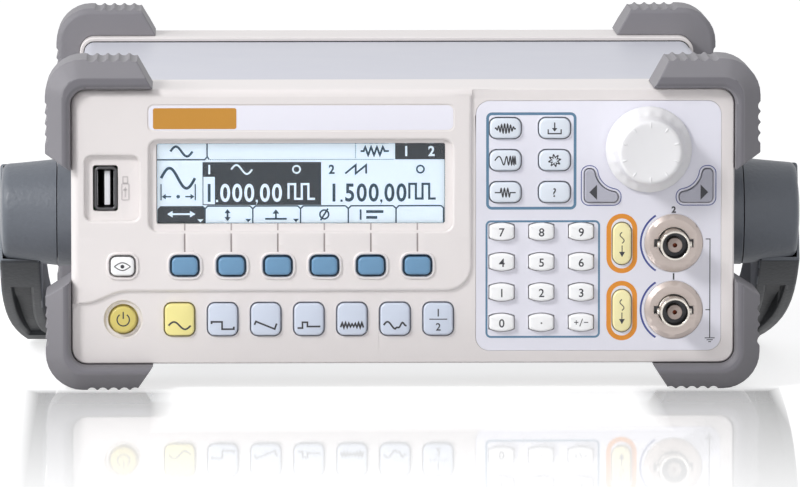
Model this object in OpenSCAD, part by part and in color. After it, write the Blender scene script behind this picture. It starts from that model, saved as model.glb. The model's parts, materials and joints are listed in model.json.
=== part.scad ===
// Bench function generator: a moulded front bezel with keys, display, knob and output jacks,
// a sheet-metal case, a moulded rear frame, rubber corner bumpers and a swinging carrying handle.
// X is to the right, Y goes into the depth, Z is up. Z = 0 is where the bumpers stand.

/* [Body] */
// Width of the bezel and of the rear frame
body_w = 215.2; // [212:1:250]
// Height of the bezel and of the rear frame
body_h = 89.6; // [88:1:110]
// From the bezel's front face to the rear edge of the rear frame
body_depth = 270; // [255:5:330]
// Radius of the four long edges
corner_r = 5; // [4:0.5:8]
// Rounding of the front edge
edge_r = 2.6; // [1.5:0.1:3]
// Depth of the front bezel
bezel_depth = 40; // [36:1:44]
// Depth of the rear frame
rear_frame_depth = 38; // [30:1:45]
// Thickness of the bezel's and the rear frame's side walls
side_wall = 2.4; // [2:0.1:3]
// Thickness of the bezel's front wall behind its lower areas
front_wall = 2.6; // [2.2:0.1:3.2]
// How far the display side stands in front of the control side
plateau_h = 1.2; // [0.8:0.1:1.6]
// Width of the raised display side
plateau_w = 129.9; // [126:0.5:130]
// Height of the low band under the raised display side
plateau_bottom = 23.7; // [22:0.1:24]
// Corner radius of the raised display side
plateau_r = 8.4; // [4:0.2:10]
// How far the case is set in from the frames
case_inset = 1.6; // [1.2:0.1:2]
// Thickness of the sheet metal
sheet = 1; // [0.8:0.1:1.2]

/* [Bumpers] */
// How far the bumpers stand out at the sides
bumper_side = 8.4; // [6:0.2:10]
// How far the bumpers stand out above
bumper_top = 9.6; // [7:0.2:11]
// How far the bumpers stand out below
bumper_bottom = 8.4; // [8.2:0.2:10]
// Reach of a bumper's horizontal arm
bumper_arm_w = 35; // [28:1:45]
// Reach of a bumper's vertical arm
bumper_arm_h = 36; // [30:1:37]
// Depth of a bumper
bumper_depth = 34; // [30:1:34]
// How far the front bumpers stand in front of the bezel
bumper_lead = 3.5; // [2.5:0.5:5]
// Outer corner radius of a bumper
bumper_r = 12; // [9:0.5:14]
// Width of the slope around a bumper's outer end
bumper_bevel = 5.6; // [3:0.2:6]
// Slope of the arm ends, across the bumper's thickness
bumper_end = 6; // [3:0.5:8]
// Distance between two grip grooves
ridge_pitch = 3.5; // [3:0.1:4]
// Radius of a grip groove
ridge_r = 1.75; // [1.2:0.05:1.9]
// Depth of a grip groove
ridge_cut = 0.8; // [0.4:0.1:1]

/* [Handle] */
// Depth of the pivot axis behind the bezel's face
hub_y = 46.5; // [46:0.5:60]
// Height of the pivot axis above the bezel's lower side
hub_up = 45.5; // [42:0.5:50]
// Radius of the hubs at their inner end
hub_r = 17.5; // [15:0.5:18]
// Radius of the hubs at their outer end
hub_tip_r = 16; // [13:0.5:16.5]
// Length of a hub
hub_len = 18.9; // [16:0.5:24]
// Thickness of the fixed collar between the body and a hub
collar_t = 4.8; // [3:0.2:7]
// Radius of the pivot stud
stud_r = 5; // [4:0.25:7]
// Thickness of the arms at the hubs
arm_t = 13.5; // [11:0.5:16]
// From the pivot axis to the middle of the crossbar
bar_reach = 107.5; // [95:0.5:125]
// Depth of the crossbar
bar_w = 18; // [14:0.5:24]
// Thickness of the crossbar
bar_t = 6.2; // [5:0.1:6.4]
// How far the arms lean inwards on their way to the crossbar
arm_lean = 6.4; // [3:0.2:7]
// Width of the rim beside the channel in the arms
arm_rim = 3.6; // [2.5:0.1:4]
// Depth of the channel in the arms
arm_channel = 6; // [3:0.5:8]

/* [Display] */
// Width of the visible display
lcd_w = 93.2; // [84:0.2:93.4]
// Height of the visible display
lcd_h = 25.8; // [22:0.2:27]
// Left edge of the display, from the bezel's left side
lcd_left = 27.9; // [27.6:0.1:28.4]
// Middle of the display, above the bezel's lower side
lcd_up = 58.7; // [58:0.1:59]
// Width of the recess around the display beyond it, at each side
recess_side = 2.6; // [2:0.1:3.2]
// Height of the recess around the display above it
recess_over = 1.4; // [1:0.1:1.8]
// Height of the recess around the display below it
recess_under = 2.6; // [2:0.1:3]
// Depth of the recess around the display
recess_d = 1.8; // [1:0.1:2.2]
// Height of the name strip's recess
strip_h = 8.8; // [7:0.2:9.4]
// Depth of the name strip's recess
strip_d = 0.3; // [0.2:0.1:0.6]

/* [Keys] */
// How far a key travels
key_travel = 1.2; // [0.6:0.1:1.6]
// How far the keys stand out of the surface around them
key_proud = 1.7; // [1.3:0.1:2.4]
// Gap around a key in its hole
key_gap = 0.25; // [0.15:0.05:0.4]
// Width of the rim that holds a key behind the bezel
key_rim = 0.8; // [0.5:0.05:1]
// Thickness of that rim
key_rim_t = 1.2; // [0.8:0.1:1.6]
// Radius of the keys' domed faces
key_crown_r = 40; // [30:5:90]
// Width of a display key
soft_w = 9.1; // [8:0.1:10]
// Height of a display key
soft_h = 6.5; // [5.5:0.1:7]
// Distance between two display keys
soft_pitch = 15.09; // [14:0.01:15.6]
// Middle of the display keys above the bezel's lower side
soft_up = 32.1; // [31.4:0.1:33]
// Width of a waveform key
wave_w = 9.8; // [9:0.1:10.6]
// Height of a waveform key
wave_h = 10.7; // [9:0.1:11.4]
// Distance between two waveform keys
wave_pitch = 13.99; // [13.2:0.01:14.4]
// Middle of the waveform keys above the bezel's lower side
wave_up = 14.6; // [13:0.1:15.2]
// Radius of the power button
power_r = 4.65; // [4:0.05:5.2]
// Radius of the dish around the power button
power_dish_r = 6.3; // [5.8:0.1:7]

/* [Control side] */
// Width of the control overlay
overlay_w = 79.7; // [79:0.1:80.2]
// Height of the control overlay
overlay_h = 81.5; // [79:0.1:82]
// Thickness of the control overlay
overlay_t = 0.6; // [0.4:0.1:0.8]
// Width of the bezel's rim at the right of the overlay
overlay_margin = 4.3; // [3.8:0.1:4.6]
// Width of a mode key
mode_w = 10.3; // [9:0.1:11]
// Height of a mode key
mode_h = 6.8; // [6:0.1:7.4]
// Width of a number key
digit_w = 7.95; // [7:0.05:8.6]
// Height of a number key
digit_h = 5.7; // [5:0.1:6.2]
// Sideways distance between two number keys
digit_pitch_x = 12.9; // [12.2:0.05:13.2]
// Upward distance between two number keys
digit_pitch_z = 9.88; // [9.2:0.01:10]
// Rise of a number key's arched top and bottom
digit_arch = 0.9; // [0.4:0.1:1.4]
// Width of an output key
output_w = 6; // [5:0.1:6.6]
// Height of an output key
output_h = 13.6; // [12:0.1:14.4]
// Radius of an arrow key's hollow side
arrow_r = 7.6; // [7:0.1:7.8]

/* [Knob] */
// Radius of the knob at its foot
knob_foot_r = 14; // [12:0.25:14.5]
// Radius of the knob at its face
knob_face_r = 10.5; // [9:0.25:11]
// Length of the knob
knob_len = 13; // [11:0.5:16]
// Number of raised ticks around the face
knob_ticks = 10; // [6:1:14]
// Gap between the knob and the overlay
knob_gap = 0.4; // [0.3:0.1:0.8]
// Radius of the encoder's shaft
shaft_r = 3; // [2.5:0.1:3.2]

/* [Connectors] */
// Outer radius of a bayonet jack's barrel
bnc_r = 4.8; // [4.6:0.1:5]
// Inner radius of a bayonet jack's barrel
bnc_inner_r = 4.1; // [3.9:0.1:4.2]
// Length of a bayonet jack in front of its panel
bnc_len = 10; // [9:0.5:12]
// Radius over a bayonet jack's two lugs
bnc_lug_reach = 5.6; // [5.3:0.1:5.8]
// Radius of the grey boss around a front jack
boss_r = 9.5; // [8:0.25:9.75]
// How far the boss stands in front of the overlay
boss_h = 1; // [0.6:0.1:1.4]
// Inner width of the USB host socket's shell
usb_w = 12.5; // [12:0.1:13]
// Inner height of the USB host socket's shell
usb_t = 5.12; // [4.8:0.02:5.4]
// Thickness of the USB shell's sheet
usb_shell = 0.4; // [0.3:0.05:0.5]

/* [Rear] */
// Set-back of the rear wall from the rear frame's edge
rear_recess = 12; // [9:0.5:16]
// Side of the square fan
fan_size = 40; // [36:1:42]
// Thickness of the fan
fan_t = 10; // [10:1:15]
// Number of fan blades
fan_blades = 7; // [5:1:11]
// Width of the mains inlet's cavity
inlet_w = 24.6; // [24:0.2:25.4]
// Height of the mains inlet's cavity
inlet_h = 16.6; // [16:0.2:17.4]
// Swing of the mains rocker from one side to the other
rocker_swing = 20; // [12:1:24]

/* [Hidden] */
$fn = 48;

bezel_color = [0.93, 0.92, 0.88];
overlay_color = [0.88, 0.88, 0.94];
metal_color = [0.80, 0.80, 0.84];
bumper_color = [0.50, 0.50, 0.52];
handle_color = [0.33, 0.35, 0.36];
key_blue = [0.75, 0.81, 0.88];
soft_blue = [0.41, 0.59, 0.72];
key_white = [0.93, 0.93, 0.95];
key_yellow = [0.95, 0.86, 0.47];
board_color = [0.12, 0.42, 0.25];
steel_color = [0.72, 0.73, 0.75];
dark_color = [0.16, 0.17, 0.18];

eps = 0.01;
skin = 0.05;
loose = 0.1;
seat = 0.3;
pin_play = 0.06;

// Sideways scale of the front's layout: 1, and less on a narrower body
squeeze = min(1, body_w / 215.2);

// Main places of the body
left = -body_w / 2;
right = body_w / 2;
bottom = bumper_bottom;
top = bottom + body_h;
mid_z = (bottom + top) / 2;
low_y = plateau_h;
back_y = low_y + front_wall;
inner_x = right - side_wall;
inner_bottom = bottom + side_wall;
inner_top = top - side_wall;
outer_w = body_w + 2 * bumper_side;
outer_h = body_h + bumper_top + bumper_bottom;
rear_frame_y = body_depth - rear_frame_depth;
rear_wall_y = body_depth - rear_recess;
bumper_span = body_depth + bumper_lead + 4.5;

// Whole length, which sets where the origin lies
knob_back_y = low_y - knob_gap;
knob_face_y = knob_back_y - knob_len;
origin_y = -(knob_face_y + bumper_span - bumper_lead) / 2;

// Stack of pieces behind the bezel's front wall
rim_y = back_y + loose;
mat_tip_y = rim_y + key_rim_t + key_travel + loose;
mat_y = mat_tip_y + 2.6;
mat_t = 1;
board_y = mat_y + mat_t;
board_t = 1.6;

// Places on the display side
screen_w = lcd_w * squeeze;
lcd_x = left + (lcd_left + lcd_w / 2) * squeeze;
lcd_z = bottom + lcd_up;
recess_w = screen_w + 2 * recess_side;
recess_h = lcd_h + recess_over + recess_under;
recess_bottom = lcd_z - lcd_h / 2 - recess_under;
recess_z = recess_bottom + recess_h / 2;
strip_w = recess_w + 1;
strip_z = recess_bottom + recess_h + 2.8 + strip_h / 2;
soft_x = left + 36.8 * squeeze;
soft_z = bottom + soft_up;
view_x = left + 16.6 * squeeze;
wave_mid = left + 77.02 * squeeze;
wave_z = bottom + wave_up;
power_x = left + 16.8 * squeeze;
usb_x = left + 11.25;
usb_z = bottom + 57.3;

// Places on the control side
film_w = overlay_w * squeeze;
overlay_x = right - (overlay_margin + overlay_w / 2) * squeeze;
overlay_z = mid_z;
knob_x = right - 27.9 * squeeze;
knob_z = bottom + 69.7;
jack_x = right - 19.7 * squeeze;
jack_z = [bottom + 39.1, bottom + 17.3];
output_x = right - 36.55 * squeeze;
output_z = [bottom + 39, bottom + 17.1];
mode_x = [right - 74.5 * squeeze, right - 58.5 * squeeze];
mode_z = [bottom + 76.65, bottom + 66.2, bottom + 55.8];
digit_x = right - 62.7 * squeeze;
digit_z = bottom + 28.18;

// Places of the handle
hub_z = bottom + hub_up;
collar_x = right + loose;
hub_x = collar_x + collar_t + seat;
hub_end_x = hub_x + hub_len;
arm_in_x = hub_end_x - arm_t;
bar_y = hub_y + bar_reach;
bar_z = 1.2 + bar_t / 2;
spigot_r = 9;

// Case and chassis
case_x = right - case_inset;
case_top = top - case_inset;
case_bottom = bottom + case_inset;
tray_x = case_x - sheet - loose;
tray_z = inner_bottom + 0.2;
tray_top = inner_top - 0.2;
tray_front_y = 20;
tray_r = 3.4;
stand_h = 5;

// Places on the rear wall
fan_x = left + 37;
fan_z = mid_z;
rear_jack_pitch = 21 * squeeze;
rear_jack_x = left + 77 * squeeze;
rear_jack_z = bottom + 30;
usb_device_x = rear_jack_x + rear_jack_pitch;
inlet_x = right - 32;
inlet_z = bottom + 29;
rocker_z = inlet_z + 32;

module placed() translate([0, origin_y, 0]) children();

// Turns a drawing in X and Z into a plate that starts at y and is t deep
module plate(y, t) translate([0, y + t, 0]) rotate([90, 0, 0]) linear_extrude(t) children();

// Rounded rectangle around its middle, with true arcs
module round_rect(w, h, r) {
    square([w - 2 * r, h], center = true);
    square([w, h - 2 * r], center = true);
    for (x = [-1, 1], z = [-1, 1])
        translate([x * (w / 2 - r), z * (h / 2 - r)]) circle(r);
}

// Body outline in X and Z, grown by g
module body_outline(g) translate([0, mid_z]) round_rect(body_w + 2 * g, body_h + 2 * g, corner_r + g);

// Number key outline: straight sides, arched top and bottom
module arched(w, h, rise) {
    arch_r = w * w / 8 / rise + rise / 2;
    intersection() {
        square([w, h + 2], center = true);
        translate([0, arch_r - h / 2]) circle(arch_r, $fn = 96);
        translate([0, h / 2 - arch_r]) circle(arch_r, $fn = 96);
    }
}

// Arrow key outline, set from the knob's axis: a square corner piece with one hollow side
module arrow_shape(g) {
    inner = 10 * squeeze;
    side = 10.8 * squeeze;
    low = -17.2;
    rounding = 1.4;
    offset(r = rounding + g, $fn = 24) offset(delta = -rounding) difference() {
        translate([inner, low]) square(side);
        translate([inner, low + side]) circle(arrow_r * squeeze, $fn = 64);
    }
}

// Every hole for a key: x, z, surface depth and outline. Drawn grown by g.
module mode_outline(g) round_rect(mode_w + 2 * g, mode_h + 2 * g, 2.4 + g);
module soft_outline(g) round_rect(soft_w + 2 * g, soft_h + 2 * g, 2 + g);
module view_outline(g) round_rect(soft_w - 1 + 2 * g, soft_h + 0.1 + 2 * g, 2 + g);
module wave_outline(g) round_rect(wave_w + 2 * g, wave_h + 2 * g, 2.3 + g);
module output_outline(g) round_rect(output_w + 2 * g, output_h + 2 * g, output_w / 2 + g - eps);
module digit_outline(g) arched(digit_w + 2 * g, digit_h + 2 * g, digit_arch);
module power_outline(g) circle(power_r + g);

function soft_at(i) = [soft_x + i * soft_pitch * squeeze, soft_z];
function wave_at(i) = [wave_mid + (i - 3) * wave_pitch * squeeze, wave_z];
function mode_at(col, row) = [mode_x[col], mode_z[row]];
function digit_at(col, row) = [digit_x + (col - 1) * digit_pitch_x * squeeze,
    digit_z + (1.5 - row) * digit_pitch_z];

module at(p) translate([p[0], p[1]]) children();

// All key holes on the display side and the low band, grown by g
module left_holes(g) {
    for (i = [0:5]) at(soft_at(i)) soft_outline(g);
    for (i = [0:6]) at(wave_at(i)) wave_outline(g);
    at([view_x, soft_z]) view_outline(g);
    at([power_x, wave_z]) power_outline(g);
}

// All key holes on the control side, grown by g
module right_holes(g) {
    for (c = [0:1], r = [0:2]) at(mode_at(c, r)) mode_outline(g);
    for (c = [0:2], r = [0:3]) at(digit_at(c, r)) digit_outline(g);
    for (z = output_z) at([output_x, z]) output_outline(g);
    at([knob_x, knob_z]) arrow_shape(g);
    at([knob_x, knob_z]) mirror([1, 0]) arrow_shape(g);
}

// Outline of the display side, raised over the control side and the low band
module plateau_outline() {
    edge = left + plateau_w * squeeze;
    foot = bottom + plateau_bottom;
    swell = 4;
    swell_x = left + 17.9;
    swell_w = 14;
    difference() {
        translate([left - 1, foot - swell]) square([edge - left + 1, body_h]);
        polygon(concat(
            [for (i = [0:12]) [swell_x - swell_w * (1 - i / 12),
                foot - swell * (0.5 + 0.5 * cos(180 * i / 12))]],
            [[edge + 1, foot], [edge + 1, foot - swell - 1], [swell_x - swell_w, foot - swell - 1]]));
        translate([edge - plateau_r, foot]) difference() {
            square([plateau_r + 1, plateau_r]);
            translate([0, plateau_r]) circle(plateau_r);
        }
    }
}

// Solid block of the bezel with its rounded front edge
module rounded_block(depth) {
    steps = 5;
    hull() {
        for (i = [0:steps]) {
            a = 90 * i / steps;
            plate(edge_r * (1 - cos(a)), eps) offset(delta = -edge_r * (1 - sin(a)), $fn = 32)
                body_outline(0, $fn = 32);
        }
        plate(depth - eps, eps) body_outline(0, $fn = 32);
    }
}

module jack_hole() {
    circle(bnc_r + 0.45);
    square([2 * bnc_lug_reach + 1.6, 2.6], center = true);
}

// Round hole or round piece along X at the handle's pivot, on side s
module pivot_round(s, x0, x1, r) translate([s * x0, hub_y, hub_z])
    rotate([0, s * 90, 0]) cylinder(x1 - x0, r, r);

// Boss with a pilot hole on the back of the bezel's front wall, for the front board
board_screws = concat(
    [for (x = [left + 7.5, right - 7.5], z = [bottom + 7.5, top - 7.5]) [x, z]],
    [for (x = [left + 70 * squeeze, right - 84.5 * squeeze], z = [bottom + 24.5, top - 7.5]) [x, z]]);
module bezel_boss(p) translate([p[0], board_y, p[1]]) rotate([90, 0, 0]) difference() {
    cylinder(board_y - back_y + eps, 3, 3);
    translate([0, 0, -1]) cylinder(board_y - back_y - 0.4, 1.15, 1.15);
}

module front_bezel() color(bezel_color) placed() {
    difference() {
        rounded_block(bezel_depth);
        plate(back_y, bezel_depth) translate([0, mid_z])
            round_rect(body_w - 2 * side_wall, body_h - 2 * side_wall, corner_r - side_wall + 0.6);
        // Lower front areas: the band under the display side and the control side
        plate(-1, low_y + 1) difference() {
            translate([left - 1, bottom - 1]) square([body_w + 2, body_h + 2]);
            plateau_outline();
        }
        // Seat of the overlay, left around the two jack bosses
        plate(low_y - 2, overlay_t + 2) difference() {
            translate([overlay_x, overlay_z]) round_rect(film_w, overlay_h, 4.5);
            for (z = jack_z) at([jack_x, z]) circle(boss_r);
        }
        plate(-1, strip_d + 1) translate([lcd_x, strip_z]) round_rect(strip_w, strip_h, 2);
        plate(-1, recess_d + 1) translate([lcd_x, recess_z]) round_rect(recess_w, recess_h, 3);
        plate(-1, back_y + 2) translate([lcd_x, lcd_z]) round_rect(screen_w + 0.4, lcd_h + 0.4, 0.8);
        // Guide grooves from the display down to its keys
        for (i = [0:5]) translate([soft_at(i)[0] - 0.3, -1, soft_z + soft_h / 2 + 1])
            cube([0.6, 1.4, recess_bottom - soft_z - soft_h / 2 - 0.7]);
        // Shallow sinks around the display keys and the view key
        plate(-1, 1.5) {
            for (i = [0:5]) at(soft_at(i)) round_rect(soft_w + 1.9, soft_h + 1.9, 2.8);
            at([view_x, soft_z]) round_rect(soft_w + 0.8, soft_h + 2, 2.8);
        }
        // Dish around the power button
        translate([power_x, low_y - 1, wave_z]) rotate([-90, 0, 0])
            cylinder(2, power_dish_r + 0.5, power_dish_r - 0.5);
        // Sink and opening of the USB host socket
        plate(-1, 3) translate([usb_x + 2, usb_z]) round_rect(17.4, 21.1, 2.2);
        plate(-1, back_y + 2) translate([usb_x - 0.1, usb_z]) round_rect(usb_t + 2.9, usb_w + 2.3, 0.8);
        plate(-1, back_y + 2) left_holes(key_gap);
        plate(-1, back_y + 2) right_holes(key_gap);
        plate(-1, back_y + 2) {
            at([knob_x, knob_z]) circle(shaft_r + 1.2);
            for (z = jack_z) at([jack_x, z]) jack_hole();
        }
        for (s = [-1, 1]) pivot_round(s, inner_x - 5, collar_x + 5, spigot_r + 0.3);
    }
    // Bosses around the front jacks, with sloped edges
    for (z = jack_z) translate([jack_x, low_y + overlay_t, z]) rotate([90, 0, 0]) difference() {
        union() {
            cylinder(overlay_t + 0.2, boss_r, boss_r);
            translate([0, 0, overlay_t + 0.2]) cylinder(boss_h - 0.2, boss_r, boss_r - 1.6);
        }
        translate([0, 0, -1]) linear_extrude(4) jack_hole();
    }
    for (p = board_screws) bezel_boss(p);
}

module control_overlay() color(overlay_color) placed() plate(low_y, overlay_t) difference() {
    translate([overlay_x, overlay_z]) round_rect(film_w - 2 * loose, overlay_h - 2 * loose, 4.5 - loose);
    right_holes(key_gap + 0.05);
    at([knob_x, knob_z]) circle(shaft_r + 1.2);
    for (z = jack_z) at([jack_x, z]) circle(boss_r + loose);
}

// Clear lens that fills the display opening, with a flange behind the wall
module display_window() color([0.8, 0.9, 0.95, 0.4]) placed() {
    plate(recess_d + 0.2, back_y + loose - recess_d) translate([lcd_x, lcd_z])
        round_rect(screen_w, lcd_h, 0.7);
    plate(back_y + loose, 0.9) translate([lcd_x, lcd_z]) square([screen_w + 5, lcd_h + 5], center = true);
}

module lcd_module() color(dark_color) placed() translate([lcd_x, 0, lcd_z]) {
    glass_y = back_y + 1.2;
    plate(glass_y, 1) square([screen_w + 3, lcd_h + 3], center = true);
    plate(glass_y + 1, board_y - glass_y - 1) square([screen_w + 7, lcd_h + 7], center = true);
}

module board_outline() {
    translate([0, mid_z]) round_rect(body_w - 2 * side_wall - 4, body_h - 2 * side_wall - 4, 3);
}

module front_board() color(board_color) placed() {
    plate(board_y, board_t) difference() {
        board_outline();
        for (p = board_screws) at(p) circle(1.5);
        at([usb_x, usb_z]) square([usb_t + 2 * usb_shell + 0.8, usb_w + 2 * usb_shell + 0.8], center = true);
    }
    // Controller, ribbon socket and cable sockets on the back
    translate([-30, board_y + board_t, mid_z - 10]) cube([24, 2, 24]);
    translate([30, board_y + board_t, mid_z - 20]) cube([36, 7, 6]);
    for (z = jack_z) translate([jack_x - 12, board_y + board_t, z - 3]) cube([6, 5, 6]);
}

module plunger(p, r) translate([p[0], mat_y + eps, p[1]])
    rotate([90, 0, 0]) cylinder(mat_y - mat_tip_y, r, r);

// Rubber sheet with a plunger behind each key
module key_mat() color([0.75, 0.75, 0.72]) placed() {
    plate(mat_y, mat_t) difference() {
        board_outline();
        for (p = board_screws) at(p) circle(3.4);
        translate([lcd_x, lcd_z]) square([screen_w + 7.6, lcd_h + 7.6], center = true);
        at([usb_x, usb_z]) square([usb_t + 3, usb_w + 3], center = true);
        at([knob_x, knob_z]) square([13, 13], center = true);
        for (z = jack_z) at([jack_x, z]) square([bnc_r * 2 + 5, bnc_r * 2 + 5], center = true);
    }
    for (i = [0:5]) plunger(soft_at(i), 1.8);
    for (i = [0:6]) plunger(wave_at(i), 2.4);
    plunger([view_x, soft_z], 1.8);
    plunger([power_x, wave_z], 1.8);
    for (c = [0:1], r = [0:2]) plunger(mode_at(c, r), 1.8);
    for (c = [0:2], r = [0:3]) plunger(digit_at(c, r), 1.6);
    for (z = output_z) plunger([output_x, z], 1.8);
    for (s = [-1, 1]) plunger([knob_x + s * 18 * squeeze, knob_z - 15], 1.4);
}

// Domed key: a cap through the wall and a rim behind it
module key(p, face_y, crown_r = key_crown_r) translate([p[0], 0, p[1]]) {
    intersection() {
        plate(face_y, rim_y + eps - face_y) children(0);
        translate([0, face_y + crown_r, 0]) sphere(crown_r, $fn = 96);
    }
    plate(rim_y, key_rim_t) children(1);
}

module soft_key(i) color(soft_blue) placed() key(soft_at(i), -key_proud) {
    soft_outline(0);
    soft_outline(key_rim);
}

module wave_key(i, shade = key_blue) color(shade) placed() key(wave_at(i), low_y - key_proud) {
    wave_outline(0);
    wave_outline(key_rim);
}

module mode_key(c, r) color(key_blue) placed() key(mode_at(c, r), low_y - key_proud) {
    mode_outline(0);
    mode_outline(key_rim);
}

module digit_key(c, r) color(key_white) placed() key(digit_at(c, r), low_y - key_proud - 0.2) {
    digit_outline(0);
    digit_outline(key_rim);
}

module arrow_key(s) color([0.6, 0.62, 0.66]) placed()
    translate([knob_x, 0, knob_z]) mirror([s < 0 ? 1 : 0, 0, 0]) {
        plate(low_y - key_proud + 0.4, rim_y + key_proud - 0.4 - low_y + eps) arrow_shape(0);
        plate(rim_y, key_rim_t) arrow_shape(key_rim - 0.3);
    }

module output_key(i) color(key_yellow) placed() key([output_x, output_z[i]], low_y - key_proud) {
    output_outline(0);
    output_outline(key_rim);
}

// Knob: a flared cap with a hub on the encoder's shaft and raised ticks around its face
module knob() color([0.94, 0.94, 0.95]) placed() translate([knob_x, knob_back_y, knob_z]) rotate([90, 0, 0]) {
    round_over = 1.4;
    flare_z = knob_len * 0.34;
    socket_len = knob_len - 3;
    difference() {
        rotate_extrude() polygon(concat(
            [[0, 0], [knob_foot_r - 0.3, 0], [knob_foot_r, 0.3]],
            [for (i = [0:8]) let (t = i / 8)
                [knob_face_r + 0.7 + (knob_foot_r - knob_face_r - 0.7) * pow(1 - t, 2), 0.8 + flare_z * t]],
            [for (i = [0:6]) let (a = 15 * i)
                [knob_face_r - round_over * (1 - cos(a)), knob_len - round_over * (1 - sin(a))]],
            [[0, knob_len - 0.001]]));
        // Hollow around the hub
        translate([0, 0, -1]) difference() {
            cylinder(socket_len - 1, knob_face_r - 1.8, knob_face_r - 1.8);
            cylinder(socket_len, shaft_r + 2.2, shaft_r + 2.2);
        }
        translate([0, 0, -1]) cylinder(socket_len + 1, shaft_r + pin_play, shaft_r + pin_play);
        translate([0, 0, knob_len + 46 - 0.4]) sphere(46, $fn = 128);
    }
    for (i = [0:knob_ticks - 1]) rotate(i * 360 / knob_ticks + 18)
        translate([knob_face_r - 2.4, -0.5, knob_len - 3.6]) cube([2.6, 1, 3.4]);
}

module rotary_encoder() color(steel_color) placed() translate([knob_x, 0, knob_z]) {
    body_y = back_y + 0.4;
    plate(body_y, board_y - body_y) square([12.4, 12.4], center = true);
    shaft_len = body_y - knob_back_y + knob_len - 3.4;
    translate([0, body_y + eps, 0]) rotate([90, 0, 0]) cylinder(shaft_len, shaft_r, shaft_r);
}

module usb_host_port() color(steel_color) placed() translate([usb_x, 0, usb_z]) {
    front_y = 2.2;
    length = 15;
    difference() {
        plate(front_y, length) square([usb_t + 2 * usb_shell, usb_w + 2 * usb_shell], center = true);
        plate(front_y - 1, length - 3) square([usb_t, usb_w], center = true);
    }
    // Contact tongue inside the shell
    plate(front_y + 1.2, length - 3) translate([0.5, 0]) square([1.84, usb_w - 1.4], center = true);
    // Carrier behind the front board
    plate(board_y + board_t, 1.2) difference() {
        square([usb_t + 6, usb_w + 4], center = true);
        square([usb_t, usb_w], center = true);
    }
}

// Bayonet jack along -Y: the panel's outer face is at y = 0, and its body lies behind the panel
module bnc_jack(reach, panel_t, body_d, nut) {
    difference() {
        union() {
            translate([0, panel_t + eps, 0]) rotate([90, 0, 0]) cylinder(reach + panel_t + eps, bnc_r, bnc_r);
            for (s = [-1, 1]) translate([0, 4.6 - reach, 0]) rotate([0, s * 90, 0])
                cylinder(bnc_lug_reach, 1, 1);
            if (nut) rotate([90, 30, 0]) cylinder(2.2, 7.2, 7.2, $fn = 6);
            plate(panel_t, body_d) square([2 * bnc_r + 3.6, 2 * bnc_r + 3.6], center = true);
        }
        translate([0, 8.6 - reach, 0]) rotate([90, 0, 0]) cylinder(20, bnc_inner_r, bnc_inner_r);
    }
    translate([0, 8.7 - reach, 0]) rotate([90, 0, 0]) difference() {
        cylinder(6.6, 2.4, 2.4);
        translate([0, 0, 2]) cylinder(6, 0.7, 0.7);
    }
}

module bnc_jacks() color(steel_color) placed() {
    front_y = back_y + 0.2;
    for (z = jack_z) translate([jack_x, front_y, z])
        bnc_jack(bnc_len + front_wall, 0, board_y - front_y, false);
    for (i = [0:3]) translate([rear_jack_x + i * rear_jack_pitch, rear_wall_y + sheet, rear_jack_z])
        rotate([0, 0, 180]) bnc_jack(bnc_len, sheet, 12, true);
}

// Metal cover: roof and sides, with narrow returns under the tray
module case_cover() color(metal_color) placed() {
    front = bezel_depth + seat;
    length = rear_frame_y - seat - front;
    mid = (case_top + case_bottom) / 2;
    h = case_top - case_bottom;
    difference() {
        plate(front, length) difference() {
            translate([0, mid]) round_rect(2 * case_x, h, 3.4);
            translate([0, mid]) round_rect(2 * case_x - 2 * sheet, h - 2 * sheet, 2.4);
            translate([-case_x + 12, case_bottom - 1]) square([2 * case_x - 24, 3]);
        }
        for (s = [-1, 1]) pivot_round(s, case_x - 5, case_x + 5, spigot_r + 0.3);
        // Cooling slots at both sides, near the rear
        for (i = [0:9]) translate([-case_x - 5, rear_frame_y - 62 + i * 5, mid_z - 16])
            cube([2 * case_x + 10, 2.2, 32]);
    }
}

// Bent tray in X and Z: a floor with two walls up to height h
module tray_profile(h) difference() {
    translate([0, (tray_z + tray_top) / 2]) difference() {
        round_rect(2 * tray_x, tray_top - tray_z, tray_r);
        round_rect(2 * (tray_x - sheet), tray_top - tray_z - 2 * sheet, tray_r - sheet);
    }
    translate([-body_w, h]) square([2 * body_w, body_h]);
}

// Tray with side walls, taller at the front, and the rear wall
module chassis() color(steel_color) placed() {
    difference() {
        union() {
            plate(tray_front_y, rear_wall_y - tray_front_y + eps) tray_profile(tray_z + 18);
            plate(tray_front_y, 50) tray_profile(mid_z + 34);
        }
        for (s = [-1, 1]) pivot_round(s, tray_x - 3, tray_x + 3, 2.2);
        // Cooling slots in the floor
        for (i = [0:7], s = [0, 1]) translate([30 - tray_x + s * (2 * tray_x - 90), 80 + i * 7, tray_z - 1])
            cube([30, 2.5, sheet + 2]);
    }
    // Stands under the main board and the power supply
    for (p = board_stands) translate([p[0], p[1], tray_z]) difference() {
        cylinder(sheet + stand_h, 2.8, 2.8);
        translate([0, 0, sheet]) cylinder(stand_h + 1, 1.15, 1.15);
    }
    plate(rear_wall_y, sheet) difference() {
        translate([0, (tray_z + tray_top) / 2]) round_rect(2 * tray_x, tray_top - tray_z, tray_r);
        for (i = [0:3]) at([rear_jack_x + i * rear_jack_pitch, rear_jack_z]) circle(bnc_r + 0.2);
        at([usb_device_x, usb_device_z]) square([12.6, 11.6], center = true);
        at([inlet_x, inlet_z]) round_rect(inlet_w + 3.4, inlet_h + 3.4, 2);
        at([inlet_x, rocker_z]) square([13.4, 19.6], center = true);
        for (p = inlet_screws) at(p) circle(1.65);
        for (p = fan_screws) at(p) circle(1.65);
        for (p = frame_screws) at(p) circle(1.65);
        // Fan grille of bowed slots
        at([fan_x, fan_z]) fan_grille();
    }
}

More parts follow.
